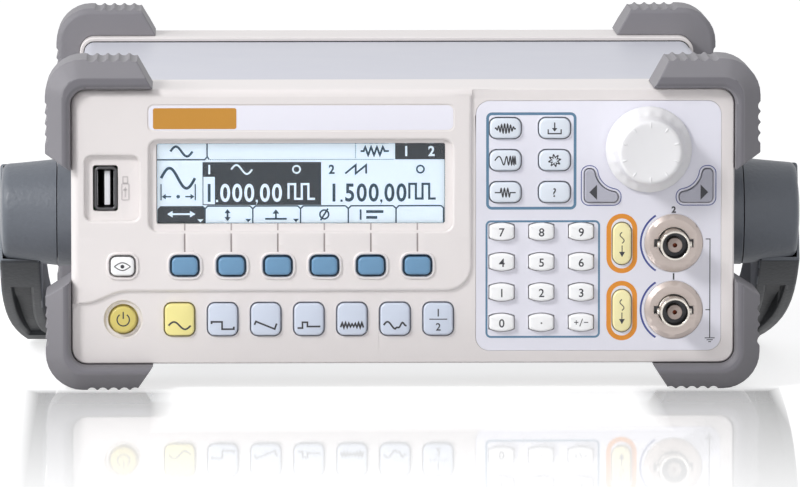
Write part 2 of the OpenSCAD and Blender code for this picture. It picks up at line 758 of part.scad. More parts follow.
// Rings of slots with four spokes left between them
module fan_grille() difference() {
    for (r = [5.5, 10, 14.5]) difference() {
        circle(r + 3.2);
        circle(r);
    }
    for (a = [0, 90]) rotate(45 + a) square([fan_size + 10, 2.4], center = true);
}

board_stands = [for (x = [left + 14, right - 66], y = [70, rear_wall_y - 14]) [x, y],
    for (x = [right - 55, right - 12], y = [100, rear_wall_y - 42]) [x, y]];
usb_device_z = tray_z + sheet + stand_h + 1.6 + 5.6;
fan_screws = [for (x = [-1, 1], z = [-1, 1]) [fan_x, fan_z] + [x, z] * (fan_size / 2 - 4)];
inlet_screws = [for (s = [-1, 1]) [inlet_x + s * 20, inlet_z]];
frame_screws = [for (x = [-tray_x + 6, tray_x - 6], z = [tray_z + 6, tray_top - 6]) [x, z]];

// Moulded rear frame: a ring with a rounded rear edge and a lip that holds the rear wall
module rear_frame() color(bezel_color) placed() {
    lip_y = rear_wall_y + sheet + loose;
    difference() {
        translate([0, body_depth, 0]) mirror([0, 1, 0]) rounded_block(rear_frame_depth);
        plate(rear_frame_y - 1, lip_y - rear_frame_y + 1) translate([0, mid_z])
            round_rect(body_w - 2 * side_wall, body_h - 2 * side_wall, corner_r - side_wall + 0.6);
        plate(lip_y - 1, body_depth) translate([0, mid_z])
            round_rect(body_w - 2 * side_wall - 6, body_h - 2 * side_wall - 6, 2.4);
    }
    // Corner pads with pilot holes for the rear wall's screws
    for (p = frame_screws) translate([p[0], lip_y + 4, p[1]]) rotate([90, 0, 0]) difference() {
        translate([-4.6, -4.6, 0]) cube([9.2, 9.2, 4]);
        translate([0, 0, -1]) cylinder(6, 1.5, 1.5);
    }
}

// One set of four corner bumpers from y, cut out of a block with sloped edges
module bumper_set(y, front_in, rear_in) {
    cz = (bottom - bumper_bottom + top + bumper_top) / 2;
    module slice(d, inset) plate(y + d, skin) translate([0, cz])
        round_rect(outer_w - 2 * inset, outer_h - 2 * inset, bumper_r - inset, $fn = 32);
    hull() {
        slice(0, front_in);
        slice(front_in * 0.85, 0);
        slice(bumper_depth - rear_in * 0.85, 0);
        slice(bumper_depth - skin, rear_in);
    }
}

// Gap between two bumper arms, wider at the outer face: half width g at the body
module arm_gap(g, reach) polygon([[-g, -reach], [g, -reach], [g, 0],
    [g + bumper_end, reach], [-g - bumper_end, reach], [-g, 0]]);

module corner_bumpers() color(bumper_color) placed() {
    gap_w = outer_w / 2 - bumper_arm_w;
    gap_h = outer_h / 2 - bumper_arm_h;
    cz = (bottom - bumper_bottom + top + bumper_top) / 2;
    difference() {
        union() {
            bumper_set(-bumper_lead, bumper_bevel, 1.5);
            bumper_set(-bumper_lead + bumper_span - bumper_depth, 1.5, bumper_bevel);
        }
        plate(-50, body_depth + 100) body_outline(loose);
        plate(-50, body_depth + 100) {
            translate([0, top]) arm_gap(gap_w, bumper_top + 1);
            translate([0, bottom]) mirror([0, 1]) arm_gap(gap_w, bumper_bottom + 1);
            for (s = [-1, 1]) translate([s * right, cz]) rotate(-s * 90) arm_gap(gap_h, bumper_side + 1);
            // Grip grooves across the outer faces
            for (s = [-1, 1], i = [0:4]) {
                x = s * (outer_w / 2 - 15 - i * ridge_pitch);
                at([x, outer_h + ridge_r - ridge_cut]) circle(ridge_r, $fn = 16);
                at([x, -ridge_r + ridge_cut]) circle(ridge_r, $fn = 16);
            }
            for (s = [-1, 1], t = [-1, 1], i = [0:3])
                at([s * (outer_w / 2 + ridge_r - ridge_cut), cz + t * (outer_h / 2 - 15.5 - i * ridge_pitch)])
                    circle(ridge_r, $fn = 16);
        }
    }
}

main_x0 = left + 9;
main_x1 = right - 61;
supply_x0 = right - 59;
supply_x1 = right - 8;
circuit_z = tray_z + sheet + stand_h;

// Main board with heat sink, chips and the USB device socket at the rear edge
module main_board() color(board_color) placed() {
    translate([main_x0, 60, circuit_z]) difference() {
        cube([main_x1 - main_x0, rear_wall_y - 62, 1.6]);
        for (p = board_stands) translate([p[0] - main_x0, p[1] - 60, -1]) cylinder(4, 1.5, 1.5);
    }
    translate([main_x0 + 20, 120, circuit_z + 1.6]) cube([28, 28, 3]);
    translate([main_x0 + 20, 170, circuit_z + 1.6]) cube([40, 22, 12]);
    translate([main_x0 + 80, 110, circuit_z + 1.6]) cube([20, 60, 10]);
    translate([usb_device_x, rear_wall_y - 15, circuit_z + 1.6]) difference() {
        translate([-6.1, 0, 0]) cube([12.2, 16.4, 11.2]);
        translate([-4.2, 8, 1.7]) cube([8.4, 9, 7.8]);
    }
    translate([usb_device_x - 2.8, rear_wall_y - 8, circuit_z + 1.6 + 4]) cube([5.6, 8, 3.2]);
}

module power_supply() color([0.55, 0.48, 0.3]) placed() {
    translate([supply_x0, 92, circuit_z]) difference() {
        cube([supply_x1 - supply_x0, rear_wall_y - 126, 1.6]);
        for (p = board_stands) translate([p[0] - supply_x0, p[1] - 92, -1]) cylinder(4, 1.5, 1.5);
    }
    translate([supply_x0 + 8, 110, circuit_z + 1.6]) cube([34, 40, 30]);
    translate([supply_x0 + 6, 165, circuit_z + 1.6]) cube([3, 36, 28]);
    for (i = [0:2]) translate([supply_x0 + 22, 168 + i * 14, circuit_z + 1.6]) cylinder(24, 6, 6);
}

// Square fan frame behind the grille, with struts that carry the rotor's pin
module at_fan() translate([fan_x, rear_wall_y - loose, fan_z]) rotate([90, 0, 0]) children();

module fan_frame() color(dark_color) placed() at_fan() {
    bore = fan_size / 2 - 1.2;
    difference() {
        linear_extrude(fan_t) round_rect(fan_size, fan_size, 3);
        translate([0, 0, -1]) cylinder(fan_t + 2, bore, bore);
        for (x = [-1, 1], y = [-1, 1]) translate([x * (fan_size / 2 - 4), y * (fan_size / 2 - 4), -1])
            cylinder(fan_t + 2, 1.7, 1.7);
    }
    translate([0, 0, fan_t - 1.5]) cylinder(1.5, 8, 8);
    for (a = [0:90:270]) rotate(a + 20) translate([6, -1, fan_t - 1.5]) cube([bore - 5.6, 2, 1.5]);
    translate([0, 0, 2]) cylinder(fan_t - 3, 1.2, 1.2);
}

module fan_rotor() color([0.2, 0.2, 0.21]) placed() at_fan() {
    hub = 8.5;
    tip = fan_size / 2 - 2;
    depth = fan_t - 3.2;
    difference() {
        translate([0, 0, 1]) cylinder(depth, hub, hub);
        translate([0, 0, 1.8]) cylinder(depth, 1.2 + pin_play, 1.2 + pin_play);
    }
    for (i = [0:fan_blades - 1]) rotate(i * 360 / fan_blades) intersection() {
        translate([hub - 0.6, 0, 1 + depth / 2])
            rotate([38, 0, 0]) translate([0, -5, -0.6]) cube([tip, 10, 1.2]);
        translate([0, 0, 1]) cylinder(depth, tip, tip);
    }
}

// Three-pole mains inlet with its flange, and the housing of the rocker above it
module mains_inlet() color(dark_color) placed() {
    face_y = rear_wall_y + sheet + loose;
    depth = 18;
    difference() {
        union() {
            plate(face_y - depth, depth + 0.4) at([inlet_x, inlet_z])
                round_rect(inlet_w + 2.8, inlet_h + 2.8, 2);
            plate(face_y, 3) at([inlet_x, inlet_z]) round_rect(49, inlet_h + 6, 4);
        }
        plate(face_y - depth + 2, depth + 3) at([inlet_x, inlet_z]) difference() {
            square([inlet_w, inlet_h], center = true);
            for (s = [-1, 1]) translate([s * inlet_w / 2, -inlet_h / 2])
                rotate(45) square(6.4, center = true);
        }
        for (p = inlet_screws) translate([p[0], face_y + 4, p[1]]) rotate([90, 0, 0]) cylinder(5, 1.65, 1.65);
    }
    for (p = [[-7, -2], [7, -2], [0, 2]]) plate(face_y - depth + 1, 15) at([inlet_x + p[0], inlet_z + p[1]])
        square([2, 4], center = true);
    difference() {
        union() {
            plate(face_y - 12, 12.4) at([inlet_x, rocker_z]) square([13, 19.2], center = true);
            plate(face_y, 1.8) at([inlet_x, rocker_z]) round_rect(15.4, 21.6, 1.2);
        }
        plate(face_y - 9, 14) at([inlet_x, rocker_z]) square([10.4, 16.6], center = true);
    }
    // Pivot pin of the rocker
    translate([inlet_x - 6, rocker_y, rocker_z]) rotate([0, 90, 0]) cylinder(12, 1.2, 1.2);
}

rocker_y = rear_wall_y + sheet + loose - 1.5;

// Rocker that tips about its pin, stored with its upper half pressed
module power_rocker() color([0.25, 0.25, 0.26]) placed() translate([inlet_x, rocker_y, rocker_z])
    rotate([rocker_swing / 2, 0, 0]) rotate([0, 90, 0]) difference() {
        intersection() {
            translate([-7.2, -5, -4.9]) cube([14.4, 9.5, 9.8]);
            translate([0, 0, -5]) cylinder(10, 7.6, 7.6);
        }
        translate([0, 19.6, -6]) cylinder(12, 16, 16, $fn = 96);
        translate([0, 0, -6]) cylinder(12, 1.2 + pin_play, 1.2 + pin_play);
    }

// Pan-head screw along -Z, its head's seat at z = 0
module screw(shank_r, length, head_r = 2.7) {
    difference() {
        cylinder(1.7, head_r, head_r - 0.5);
        for (a = [0, 90]) rotate(a) translate([-1.6, -0.3, 0.9]) cube([3.2, 0.6, 2]);
    }
    translate([0, 0, -length]) cylinder(length + eps, shank_r, shank_r);
}

module screws() color(steel_color) placed() {
    for (p = board_screws) translate([p[0], board_y + board_t, p[1]])
        rotate([-90, 0, 0]) screw(1.1, board_t + 4);
    for (p = board_stands) translate([p[0], p[1], circuit_z + 1.6]) screw(1.1, 1.6 + stand_h - 1);
    for (p = frame_screws) translate([p[0], rear_wall_y, p[1]]) rotate([90, 0, 0]) screw(1.4, sheet + 3.6);
    for (p = inlet_screws) translate([p[0], rear_wall_y + sheet + loose + 3, p[1]])
        rotate([-90, 0, 0]) screw(1.5, 7);
    for (p = fan_screws) translate([p[0], rear_wall_y + sheet, p[1]]) rotate([-90, 0, 0]) screw(1.5, 9);
    for (s = [-1, 1]) translate([s * (tray_x - sheet), hub_y, hub_z])
        rotate([0, -s * 90, 0]) screw(2.1, 9, 4);
}

// Fixed collars at the body's sides, each with the stud that a hub turns on
module handle_pivots() color(handle_color) placed() for (s = [-1, 1]) difference() {
    union() {
        pivot_round(s, tray_x + 0.05, collar_x + eps, spigot_r);
        pivot_round(s, collar_x, collar_x + collar_t, hub_r + 0.2);
        pivot_round(s, collar_x, hub_x + hub_len - 5.5, stud_r);
    }
    pivot_round(s, tray_x - 1, tray_x + 9, 2.15);
}

// Points of the handle, from the pivot back to the crossbar
bar_front = bar_y - bar_w / 2;
bar_back = bar_y + bar_w / 2;
function arm_y(i) = hub_y + (bar_front - hub_y) * i / 8;
function lean(y, bend = 2) = arm_lean * pow(max(0, (y - hub_y) / (bar_front - hub_y)), bend);
function bezier(a, b, c, t) = a * (1 - t) * (1 - t) + b * 2 * t * (1 - t) + c * t * t;
function arm_under(t, up) = bezier([hub_y - hub_r * 0.4, hub_z - hub_r * 0.9], [hub_y + 16, bar_z + 13.5],
    [bar_front, bar_z - bar_t / 2], t) + [0, up];

// The handle seen from the side: hub, curved arm and flat crossbar, in Y and Z
module handle_side() {
    polygon(concat(
        [for (i = [0:12]) arm_under(i / 12, 0)],
        [[bar_back - 1.5, bar_z - bar_t / 2], [bar_back, bar_z - bar_t / 2 + 1.5],
         [bar_back, bar_z + bar_t / 2 - 1.5], [bar_back - 1.5, bar_z + bar_t / 2]],
        [for (i = [0:6]) bezier([bar_front - 0.5, bar_z + bar_t / 2],
            [bar_front - 32, bar_z + bar_t / 2 + 20],
            [hub_y + hub_r * 0.3, hub_z + hub_r * 0.9], i / 6)]));
}

// The handle seen from above, in X and Y: a U whose arms lean inwards
module handle_plan() {
    turn_out = 14;
    turn_in = 8;
    outer = concat(
        [[hub_end_x, hub_y - hub_r]],
        [for (i = [0:8]) let (y = arm_y(i)) [hub_end_x - lean(y), y]],
        [for (i = [1:6]) [hub_end_x - arm_lean - turn_out * (1 - cos(15 * i)),
            bar_front + bar_w * sin(15 * i)]]);
    inner = concat(
        [[arm_in_x, hub_y - hub_r]],
        [for (i = [0:8]) let (y = hub_y + (bar_front - turn_in - hub_y) * i / 8) [arm_in_x - lean(y, 4), y]],
        [for (i = [1:6]) [arm_in_x - arm_lean - turn_in * (1 - cos(15 * i)),
            bar_front - turn_in + turn_in * sin(15 * i)]]);
    for (s = [0, 1]) mirror([s, 0]) polygon(concat([[-eps, bar_back]], [[-eps, bar_front]],
        [for (i = [len(inner) - 1:-1:0]) inner[i]], outer));
}

module along_x(w) translate([-w, 0, 0]) rotate([90, 0, 90]) linear_extrude(2 * w) children();

// Carrying handle: two hubs, two channelled arms and the crossbar under the body
module handle() color(handle_color) placed() {
    difference() {
        union() {
            intersection() {
                along_x(hub_end_x + 5) handle_side();
                linear_extrude(hub_z + 60) handle_plan();
            }
            for (s = [-1, 1]) translate([s * hub_x, hub_y, hub_z]) rotate([0, s * 90, 0]) rotate_extrude()
                polygon(concat([[0, 0], [hub_r, 0]],
                    [for (i = [0:6]) let (a = 15 * i)
                        [hub_tip_r - 2.5 * (1 - cos(a)), hub_len - 1 - 2.5 * (1 - sin(a))]],
                    [[hub_tip_r * 0.5, hub_len - 0.3], [0, hub_len]]));
        }
        for (s = [-1, 1]) pivot_round(s, hub_x - 1, hub_end_x - 5, stud_r + pin_play);
        // Channels under the arms, between an outer and an inner rim
        for (s = [0, 1]) mirror([s, 0, 0]) intersection() {
            along_x(hub_end_x + 5) polygon(concat(
                [for (i = [3:11]) arm_under(i / 12, arm_channel * min(1, (12 - i) / 4))],
                [for (i = [11:-1:3]) arm_under(i / 12, -9)]));
            linear_extrude(hub_z + 60) polygon(concat(
                [for (i = [0:8]) let (y = arm_y(i)) [hub_end_x - arm_rim - lean(y), y]],
                [for (i = [8:-1:0]) let (y = arm_y(i)) [arm_in_x + arm_rim - lean(y, 4), y]]));
        }
        difference() {
            for (s = [-1, 1]) pivot_round(s, hub_x - 20, hub_x, hub_r + 6);
            translate([-hub_x, bar_front - 30, 0]) cube([2 * hub_x, 60, 30]);
        }
    }
}

module power_key() color(key_yellow) placed() key([power_x, wave_z], low_y - key_proud + 0.5) {
    power_outline(0);
    power_outline(key_rim);
}

module view_key() color(key_white) placed() key([view_x, soft_z], -key_proud) {
    view_outline(0);
    view_outline(key_rim);
}

module soft_key_1() soft_key(0);
module soft_key_2() soft_key(1);
module soft_key_3() soft_key(2);
module soft_key_4() soft_key(3);
module soft_key_5() soft_key(4);
module soft_key_6() soft_key(5);
module sine_key() wave_key(0, key_yellow);
module square_key() wave_key(1);
module ramp_key() wave_key(2);
module pulse_key() wave_key(3);
module noise_key() wave_key(4);
module arb_key() wave_key(5);
module channel_key() wave_key(6);
module mod_key() mode_key(0, 0);
module sweep_key() mode_key(0, 1);
module burst_key() mode_key(0, 2);
module store_key() mode_key(1, 0);
module utility_key() mode_key(1, 1);
module help_key() mode_key(1, 2);
module digit_0_key() digit_key(0, 3);
module digit_1_key() digit_key(0, 2);
module digit_2_key() digit_key(1, 2);
module digit_3_key() digit_key(2, 2);
module digit_4_key() digit_key(0, 1);
module digit_5_key() digit_key(1, 1);
module digit_6_key() digit_key(2, 1);
module digit_7_key() digit_key(0, 0);
module digit_8_key() digit_key(1, 0);
module digit_9_key() digit_key(2, 0);
module point_key() digit_key(1, 3);
module sign_key() digit_key(2, 3);
module left_key() arrow_key(-1);
module right_key() arrow_key(1);
module output_key_1() output_key(1);
module output_key_2() output_key(0);

front_bezel();
control_overlay();
display_window();
lcd_module();
front_board();
key_mat();
rotary_encoder();
usb_host_port();
bnc_jacks();
case_cover();
chassis();
rear_frame();
corner_bumpers();
main_board();
power_supply();
fan_frame();
mains_inlet();
screws();
handle_pivots();
handle();
knob();
power_rocker();
fan_rotor();
power_key();
view_key();
soft_key_1();
soft_key_2();
soft_key_3();
soft_key_4();
soft_key_5();
soft_key_6();
sine_key();
square_key();
ramp_key();
pulse_key();
noise_key();
arb_key();
channel_key();
mod_key();
sweep_key();
burst_key();
store_key();
utility_key();
help_key();
digit_0_key();
digit_1_key();
digit_2_key();
digit_3_key();
digit_4_key();
digit_5_key();
digit_6_key();
digit_7_key();
digit_8_key();
digit_9_key();
point_key();
sign_key();
left_key();
right_key();
output_key_1();
output_key_2();
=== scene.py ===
"""Bench function generator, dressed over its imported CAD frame.

Mouldings, case, bumpers, handle, keys with their marks, display picture, printed lines, knob,
jacks, rear panel, inner boards and a small stage. Lengths inside the functions are millimetres
in the frame's axes: X to the right, Y into the depth, Z up.
"""
import json
import math

import bmesh
import bpy
import numpy as np
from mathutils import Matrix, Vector


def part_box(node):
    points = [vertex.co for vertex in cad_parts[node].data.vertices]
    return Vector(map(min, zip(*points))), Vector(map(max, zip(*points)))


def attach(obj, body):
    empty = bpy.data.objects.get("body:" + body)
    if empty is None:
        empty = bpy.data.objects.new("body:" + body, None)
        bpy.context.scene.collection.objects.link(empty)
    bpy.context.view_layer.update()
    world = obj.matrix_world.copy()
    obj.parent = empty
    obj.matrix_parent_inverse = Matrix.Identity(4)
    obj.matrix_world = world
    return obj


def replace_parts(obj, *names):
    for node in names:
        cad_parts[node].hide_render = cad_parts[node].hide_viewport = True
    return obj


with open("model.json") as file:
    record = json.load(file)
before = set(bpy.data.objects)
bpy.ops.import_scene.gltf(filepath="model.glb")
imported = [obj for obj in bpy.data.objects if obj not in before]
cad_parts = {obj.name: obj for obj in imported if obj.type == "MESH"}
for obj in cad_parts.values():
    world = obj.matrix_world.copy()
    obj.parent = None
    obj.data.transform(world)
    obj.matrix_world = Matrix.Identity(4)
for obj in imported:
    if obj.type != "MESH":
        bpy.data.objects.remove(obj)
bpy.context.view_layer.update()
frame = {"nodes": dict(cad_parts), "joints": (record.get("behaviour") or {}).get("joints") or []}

MM = 0.001
# Distances in metres within which points are merged, and within which a parting plane snaps to a point
WELD, SNAP = 2e-6, 5e-6

DIGITS = {f"digit_{n}_key": str(n) for n in range(10)}
NUMBER_KEYS = (*DIGITS, "point_key", "sign_key")
WAVE_KEYS = ("sine_key", "square_key", "ramp_key", "pulse_key", "noise_key", "arb_key", "channel_key")
MODE_KEYS = ("mod_key", "sweep_key", "burst_key", "store_key", "utility_key", "help_key")
SOFT_KEYS = tuple(f"soft_key_{n}" for n in range(1, 7))
OUTPUT_KEYS = ("output_key_1", "output_key_2")

# Lengths of the CAD that no box gives, from the bezel's left, right and lower sides: the raised side
# with its hollow corner, the socket's sink, the jacks, and where rounded edges end
PLATEAU_WIDTH, PLATEAU_UP = 129.9, 23.2
CORNER_IN, CORNER_UP, CORNER_RADIUS = 8.4, 32.1, 8.1
SINK_LEFT, SINK_UP, SINK_HALF_WIDTH, SINK_HALF_HEIGHT = 13.25, 57.3, 9.2, 11.0
BODY_CORNER, HUB_FROM_SIDE, EDGE_END = 5.0, 5.2, 2.6
BOSS_RADIUS = 9.75
JACK_IN, JACK_UP = 19.7, (39.1, 17.3)
REAR_JACK_FROM, REAR_JACK_PITCH, REAR_JACK_UP = 77, 21, 30
# The lit screen, and heights from the display's middle: its recess and the name strip
SCREEN_WIDTH, SCREEN_HEIGHT = 93.2, 25.8
RECESS_DOWN, RECESS_UP, STRIP_UP = 15.5, 15.2, 21.5
# Camera: its eye and aim in metres, and its lens in millimetres
EYE_ACROSS, EYE_UP = -0.0679, 0.3142
AIM_ACROSS, AIM_UP = -0.0011, 0.0480
LENS = 385.5

bl_info = {
    "name": "Bench function generator",
    "version": (1, 0, 0),
    "blender": (4, 5, 0),
    "location": "View3D > Sidebar > Generator",
    "description": "Dresses the packed function generator with mouldings, keys, display and print",
    "category": "Add Mesh",
}


# ------------------------------------------------------------------ sizes and colours
def linear(red, green, blue):
    """Linear colour of 0 to 255 screen values."""
    c = np.array([red, green, blue]) / 255.0
    return tuple(float(v) for v in np.where(c <= 0.04045, c / 12.92, ((c + 0.055) / 1.055) ** 2.4))


def colour(name, description, *screen):
    """A colour property whose default is given in screen values."""
    return bpy.props.FloatVectorProperty(name=name, description=description, subtype="COLOR", size=3,
                                         min=0, max=1, default=linear(*screen))


def length(name, description, default, low, high):
    """A length property in metres."""
    return bpy.props.FloatProperty(name=name, description=description, unit="LENGTH", subtype="DISTANCE",
                                   default=default * MM, min=low * MM, max=high * MM)


class GeneratorColours(bpy.types.PropertyGroup):
    """Colours of the mouldings, keys, inks and the display."""
    bezel: colour("Bezel", "Warm white of the front and rear frames", 235, 229, 228)
    overlay: colour("Overlay", "Film behind the number keys", 230, 229, 239)
    cover: colour("Cover", "Paint of the metal case", 200, 201, 212)
    bumper: colour("Bumpers", "Rubber of the corner bumpers", 128, 126, 131)
    handle: colour("Handle", "Grained plastic of the handle", 100, 105, 113)
    key_pale: colour("Pale keys", "Mode and waveform keys", 208, 216, 232)
    key_white: colour("White keys", "Number keys and view key", 252, 252, 253)
    key_blue: colour("Display keys", "Keys under the display", 106, 150, 186)
    key_yellow: colour("Yellow keys", "Sine key, power key and output keys", 242, 230, 150)
    key_grey: colour("Arrow keys", "Keys beside the knob", 178, 178, 190)
    knob: colour("Knob", "White plastic of the knob", 240, 239, 241)
    frame_ink: colour("Frame ink", "Lines around the key blocks", 92, 128, 156)
    arc_ink: colour("Arc ink", "Arcs beside the front jacks", 62, 74, 140)
    dark_ink: colour("Dark ink", "Symbols on keys and panel", 52, 52, 58)
    orange_ink: colour("Orange ink", "Fields around the output keys", 224, 142, 40)
    plate: colour("Plate", "Bare plate in the name strip", 200, 141, 48)
    lcd_light: colour("Display light", "Lit ground of the display", 226, 239, 249)
    lcd_dark: colour("Display dark", "Dark fields of the display", 34, 44, 54)


class GeneratorSizes(bpy.types.PropertyGroup):
    """Sizes of roundings, marks and lines."""
    step_round: length("Step rounding", "Rounding of the raised display side's edge", 1.0, 0.3, 1.1)
    bumper_round: length("Bumper rounding", "Broad rounding of the bumpers beside the body", 1.7, 0.6, 2.0)
    handle_round: length("Handle rounding", "Rounding of the handle's edges", 1.0, 0.3, 1.6)
    key_round: length("Key rounding", "Rounding of the keys' front edges", 0.75, 0.3, 1.0)
    key_dome: length("Key dome", "Radius of the keys' domed faces", 40, 30, 90)
    key_rim: length("Key rim", "Rim that holds a key behind the wall", 0.8, 0.5, 1)
    key_rim_depth: length("Key rim depth", "Thickness of that rim", 1.2, 0.8, 1.6)
    ink_lift: length("Ink thickness", "How far a print stands on its surface", 0.03, 0.01, 0.08)
    wave_line: length("Wave line", "Width of the lines on the waveform keys", 0.56, 0.2, 0.7)
    icon_line: length("Icon line", "Width of the lines on the mode keys", 0.4, 0.2, 0.6)
    block_line: length("Block line", "Width of the frame around the mode keys", 0.9, 0.4, 1.2)
    number_height: length("Number height", "Height of a number on its key", 2.75, 1.5, 3.4)
    camera_distance: length("Camera distance", "From the bumpers' front to the camera", 2761, 1500, 4000)
    floor_size: length("Floor size", "Side of the floor", 30000, 5000, 60000)


def sizes():
    """The size properties of this scene."""
    return bpy.context.scene.generator_sizes


def colours():
    """The colour properties of this scene."""
    return bpy.context.scene.generator_colours


def mm(name):
    """One size property in millimetres."""
    return getattr(sizes(), name) / MM


def node_box(node):
    """Lowest and highest corner of a CAD node, in millimetres."""
    low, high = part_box(node)
    return np.array(low) / MM, np.array(high) / MM


def middle_of(node):
    """Middle of a CAD node's box, in millimetres."""
    low, high = node_box(node)
    return (low + high) / 2


def key_size(node):
    """Width and height of a key without its rim, in millimetres."""
    low, high = node_box(node)
    return (high - low)[[0, 2]] - 2 * mm("key_rim")


def front_of(node):
    """Depth of a CAD node's front, in millimetres."""
    return node_box(node)[0][1]


# ------------------------------------------------------------------ shader trees
class Tree:
    """Adds and links nodes in one node tree."""

    def __init__(self, tree):
        self.tree = tree

    def put(self, socket, value):
        """Links a socket, or sets a plain value."""
        if isinstance(value, bpy.types.NodeSocket):
            self.tree.links.new(value, socket)
        else:
            socket.default_value = value

    def give(self, node, inputs):
        """Links or sets inputs of a node by name or number."""
        for key, value in inputs.items():
            self.put(node.inputs[key], value)
        return node

    def add(self, kind, inputs=None, **settings):
        """One node with its settings and its inputs."""
        node = self.tree.nodes.new(kind)
        for key, value in settings.items():
            setattr(node, key, value)
        return self.give(node, inputs or {})

    def group(self, made, inputs):
        """Outputs of one node group."""
        return self.add("ShaderNodeGroup", inputs, node_tree=made).outputs

    def noise(self, place, scale, detail, rough=0.5):
        """Factor of a noise texture."""
        inputs = {"Vector": place, "Scale": scale, "Detail": detail, "Roughness": rough}
        return self.add("ShaderNodeTexNoise", inputs).outputs["Fac"]

    def axes(self, place):
        """X, Y and Z of a place."""
        return self.add("ShaderNodeSeparateXYZ", {"Vector": place}).outputs

    def bump(self, height, depth):
        """Normal of a relief, its depth in millimetres."""
        inputs = {"Height": height, "Strength": 1.0, "Distance": depth * MM}
        return self.add("ShaderNodeBump", inputs).outputs[0]

    def math(self, operation, a, b=0.0, clamp=False):
        """Result of one Math node."""
        return self.add("ShaderNodeMath", {0: a, 1: b}, operation=operation, use_clamp=clamp).outputs[0]

    def span(self, value, low, high, to_low=0.0, to_high=1.0):
        """Value carried from one range to another, held at the ends."""
        return self.add("ShaderNodeMapRange", {0: value, 1: low, 2: high, 3: to_low, 4: to_high}).outputs[0]

    def seen(self):
        """1 for a ray from the camera, from a gloss or through a lens, and 0 for any other."""
        path = self.add("ShaderNodeLightPath").outputs
        others = self.math("MAXIMUM", path["Is Glossy Ray"], path["Is Transmission Ray"])
        return self.math("MAXIMUM", path["Is Camera Ray"], others)

    def blend(self, factor, a, b):
        """Mix of two colours."""
        node = self.add("ShaderNodeMix", data_type="RGBA")
        sockets = [s for s in node.inputs if s.type == "RGBA"]
        for socket, value in zip((node.inputs["Factor"], *sockets), (factor, a, b)):
            self.put(socket, value)
        return next(s for s in node.outputs if s.type == "RGBA")


def shader_group(name, inputs, outputs, make):
    """A shader node group with named sockets, made once. make(tree, inputs) returns its outputs."""
    if name in bpy.data.node_groups:
        return bpy.data.node_groups[name]
    group = bpy.data.node_groups.new(name, "ShaderNodeTree")
    for label, default in inputs.items():
        kind = "NodeSocketVector" if default is None else "NodeSocketFloat"
        socket = group.interface.new_socket(label, in_out="INPUT", socket_type=kind)
        if default is not None:
            socket.default_value = default
    for label in outputs:
        group.interface.new_socket(label, in_out="OUTPUT", socket_type="NodeSocketFloat")
    tree = Tree(group)
    results = make(tree, tree.add("NodeGroupInput").outputs)
    tree.add("NodeGroupOutput", dict(zip(outputs, results)))
    return group


def grain_group():
    """Moulded grain. Height is a small noise, and Pebble adds rounded cells. Tone is a broad slow noise."""
    def make(tree, given):
        fine = tree.math("MULTIPLY", tree.noise(given["Vector"], given["Scale"], 3.0), 0.6)
        cells = tree.add("ShaderNodeTexVoronoi",
                         {"Vector": given["Vector"], "Scale": tree.math("MULTIPLY", given["Scale"], 0.55),
                          "Smoothness": 0.6}, feature="SMOOTH_F1")
        domes = tree.math("SUBTRACT", 1.0, cells.outputs["Distance"])
        height = tree.math("ADD", fine, tree.math("MULTIPLY", domes, given["Pebble"]))
        return height, tree.noise(given["Vector"], 38.0, 4.0, 0.6)
    return shader_group("Moulded grain", {"Vector": None, "Scale": 1500.0, "Pebble": 0.0},
                        ["Height", "Tone"], make)


def scuff_group():
    """Scuffs. A patchy noise that is strong below a height Level and fades over the distance Fade."""
    def make(tree, given):
        above = tree.math("SUBTRACT", tree.axes(given["Vector"])["Z"], given["Level"])
        near = tree.math("SUBTRACT", 1.0, tree.math("DIVIDE", above, given["Fade"]), clamp=True)
        spots = tree.span(tree.noise(given["Vector"], 420.0, 6.0, 0.7), 0.46, 0.66)
        return (tree.math("MULTIPLY", near, spots, clamp=True),)
    return shader_group("Scuffs", {"Vector": None, "Level": 0.0, "Fade": 0.004}, ["Mask"], make)


def brushed_group():
    """Fine parallel scratches: noise drawn out along one axis, and a cloudy tone."""
    def make(tree, given):
        drawn = tree.add("ShaderNodeMapping", {"Vector": given["Vector"], "Scale": (60.0, 2600.0, 2600.0)})
        return tree.noise(drawn.outputs[0], 1.0, 4.0), tree.noise(given["Vector"], 220.0, 3.0)
    return shader_group("Brushed metal", {"Vector": None}, ["Height", "Tone"], make)


def dot_group():
    """Grid of display dots. 1 on a dot, less in the gaps: the cosines of X and of Z at the dot pitch."""
    def make(tree, given):
        place, turn = tree.axes(given["Vector"]), tree.math("DIVIDE", 2 * math.pi, given["Pitch"])
        waves = [tree.math("COSINE", tree.math("MULTIPLY", place[axis], turn)) for axis in ("X", "Z")]
        return (tree.span(tree.math("MAXIMUM", *waves), 0.7, 1.0, 1.0, 0.0),)
    return shader_group("Display dots", {"Vector": None, "Pitch": 0.000364}, ["Dot"], make)


def shaded(rgb, share):
    """A colour made lighter or darker by a share, with alpha."""
    return tuple(min(1.0, c * share) for c in rgb) + (1.0,)


def grey(share):
    """A grey with alpha."""
    return (share, share, share, 1.0)


def start_material(name):
    """A new material, its tree, its Principled BSDF and its Object coordinates."""
    made = bpy.data.materials.new(name)
    made.use_nodes = True
    tree = Tree(made.node_tree)
    place = tree.add("ShaderNodeTexCoord").outputs["Object"]
    return made, tree, made.node_tree.nodes["Principled BSDF"], place


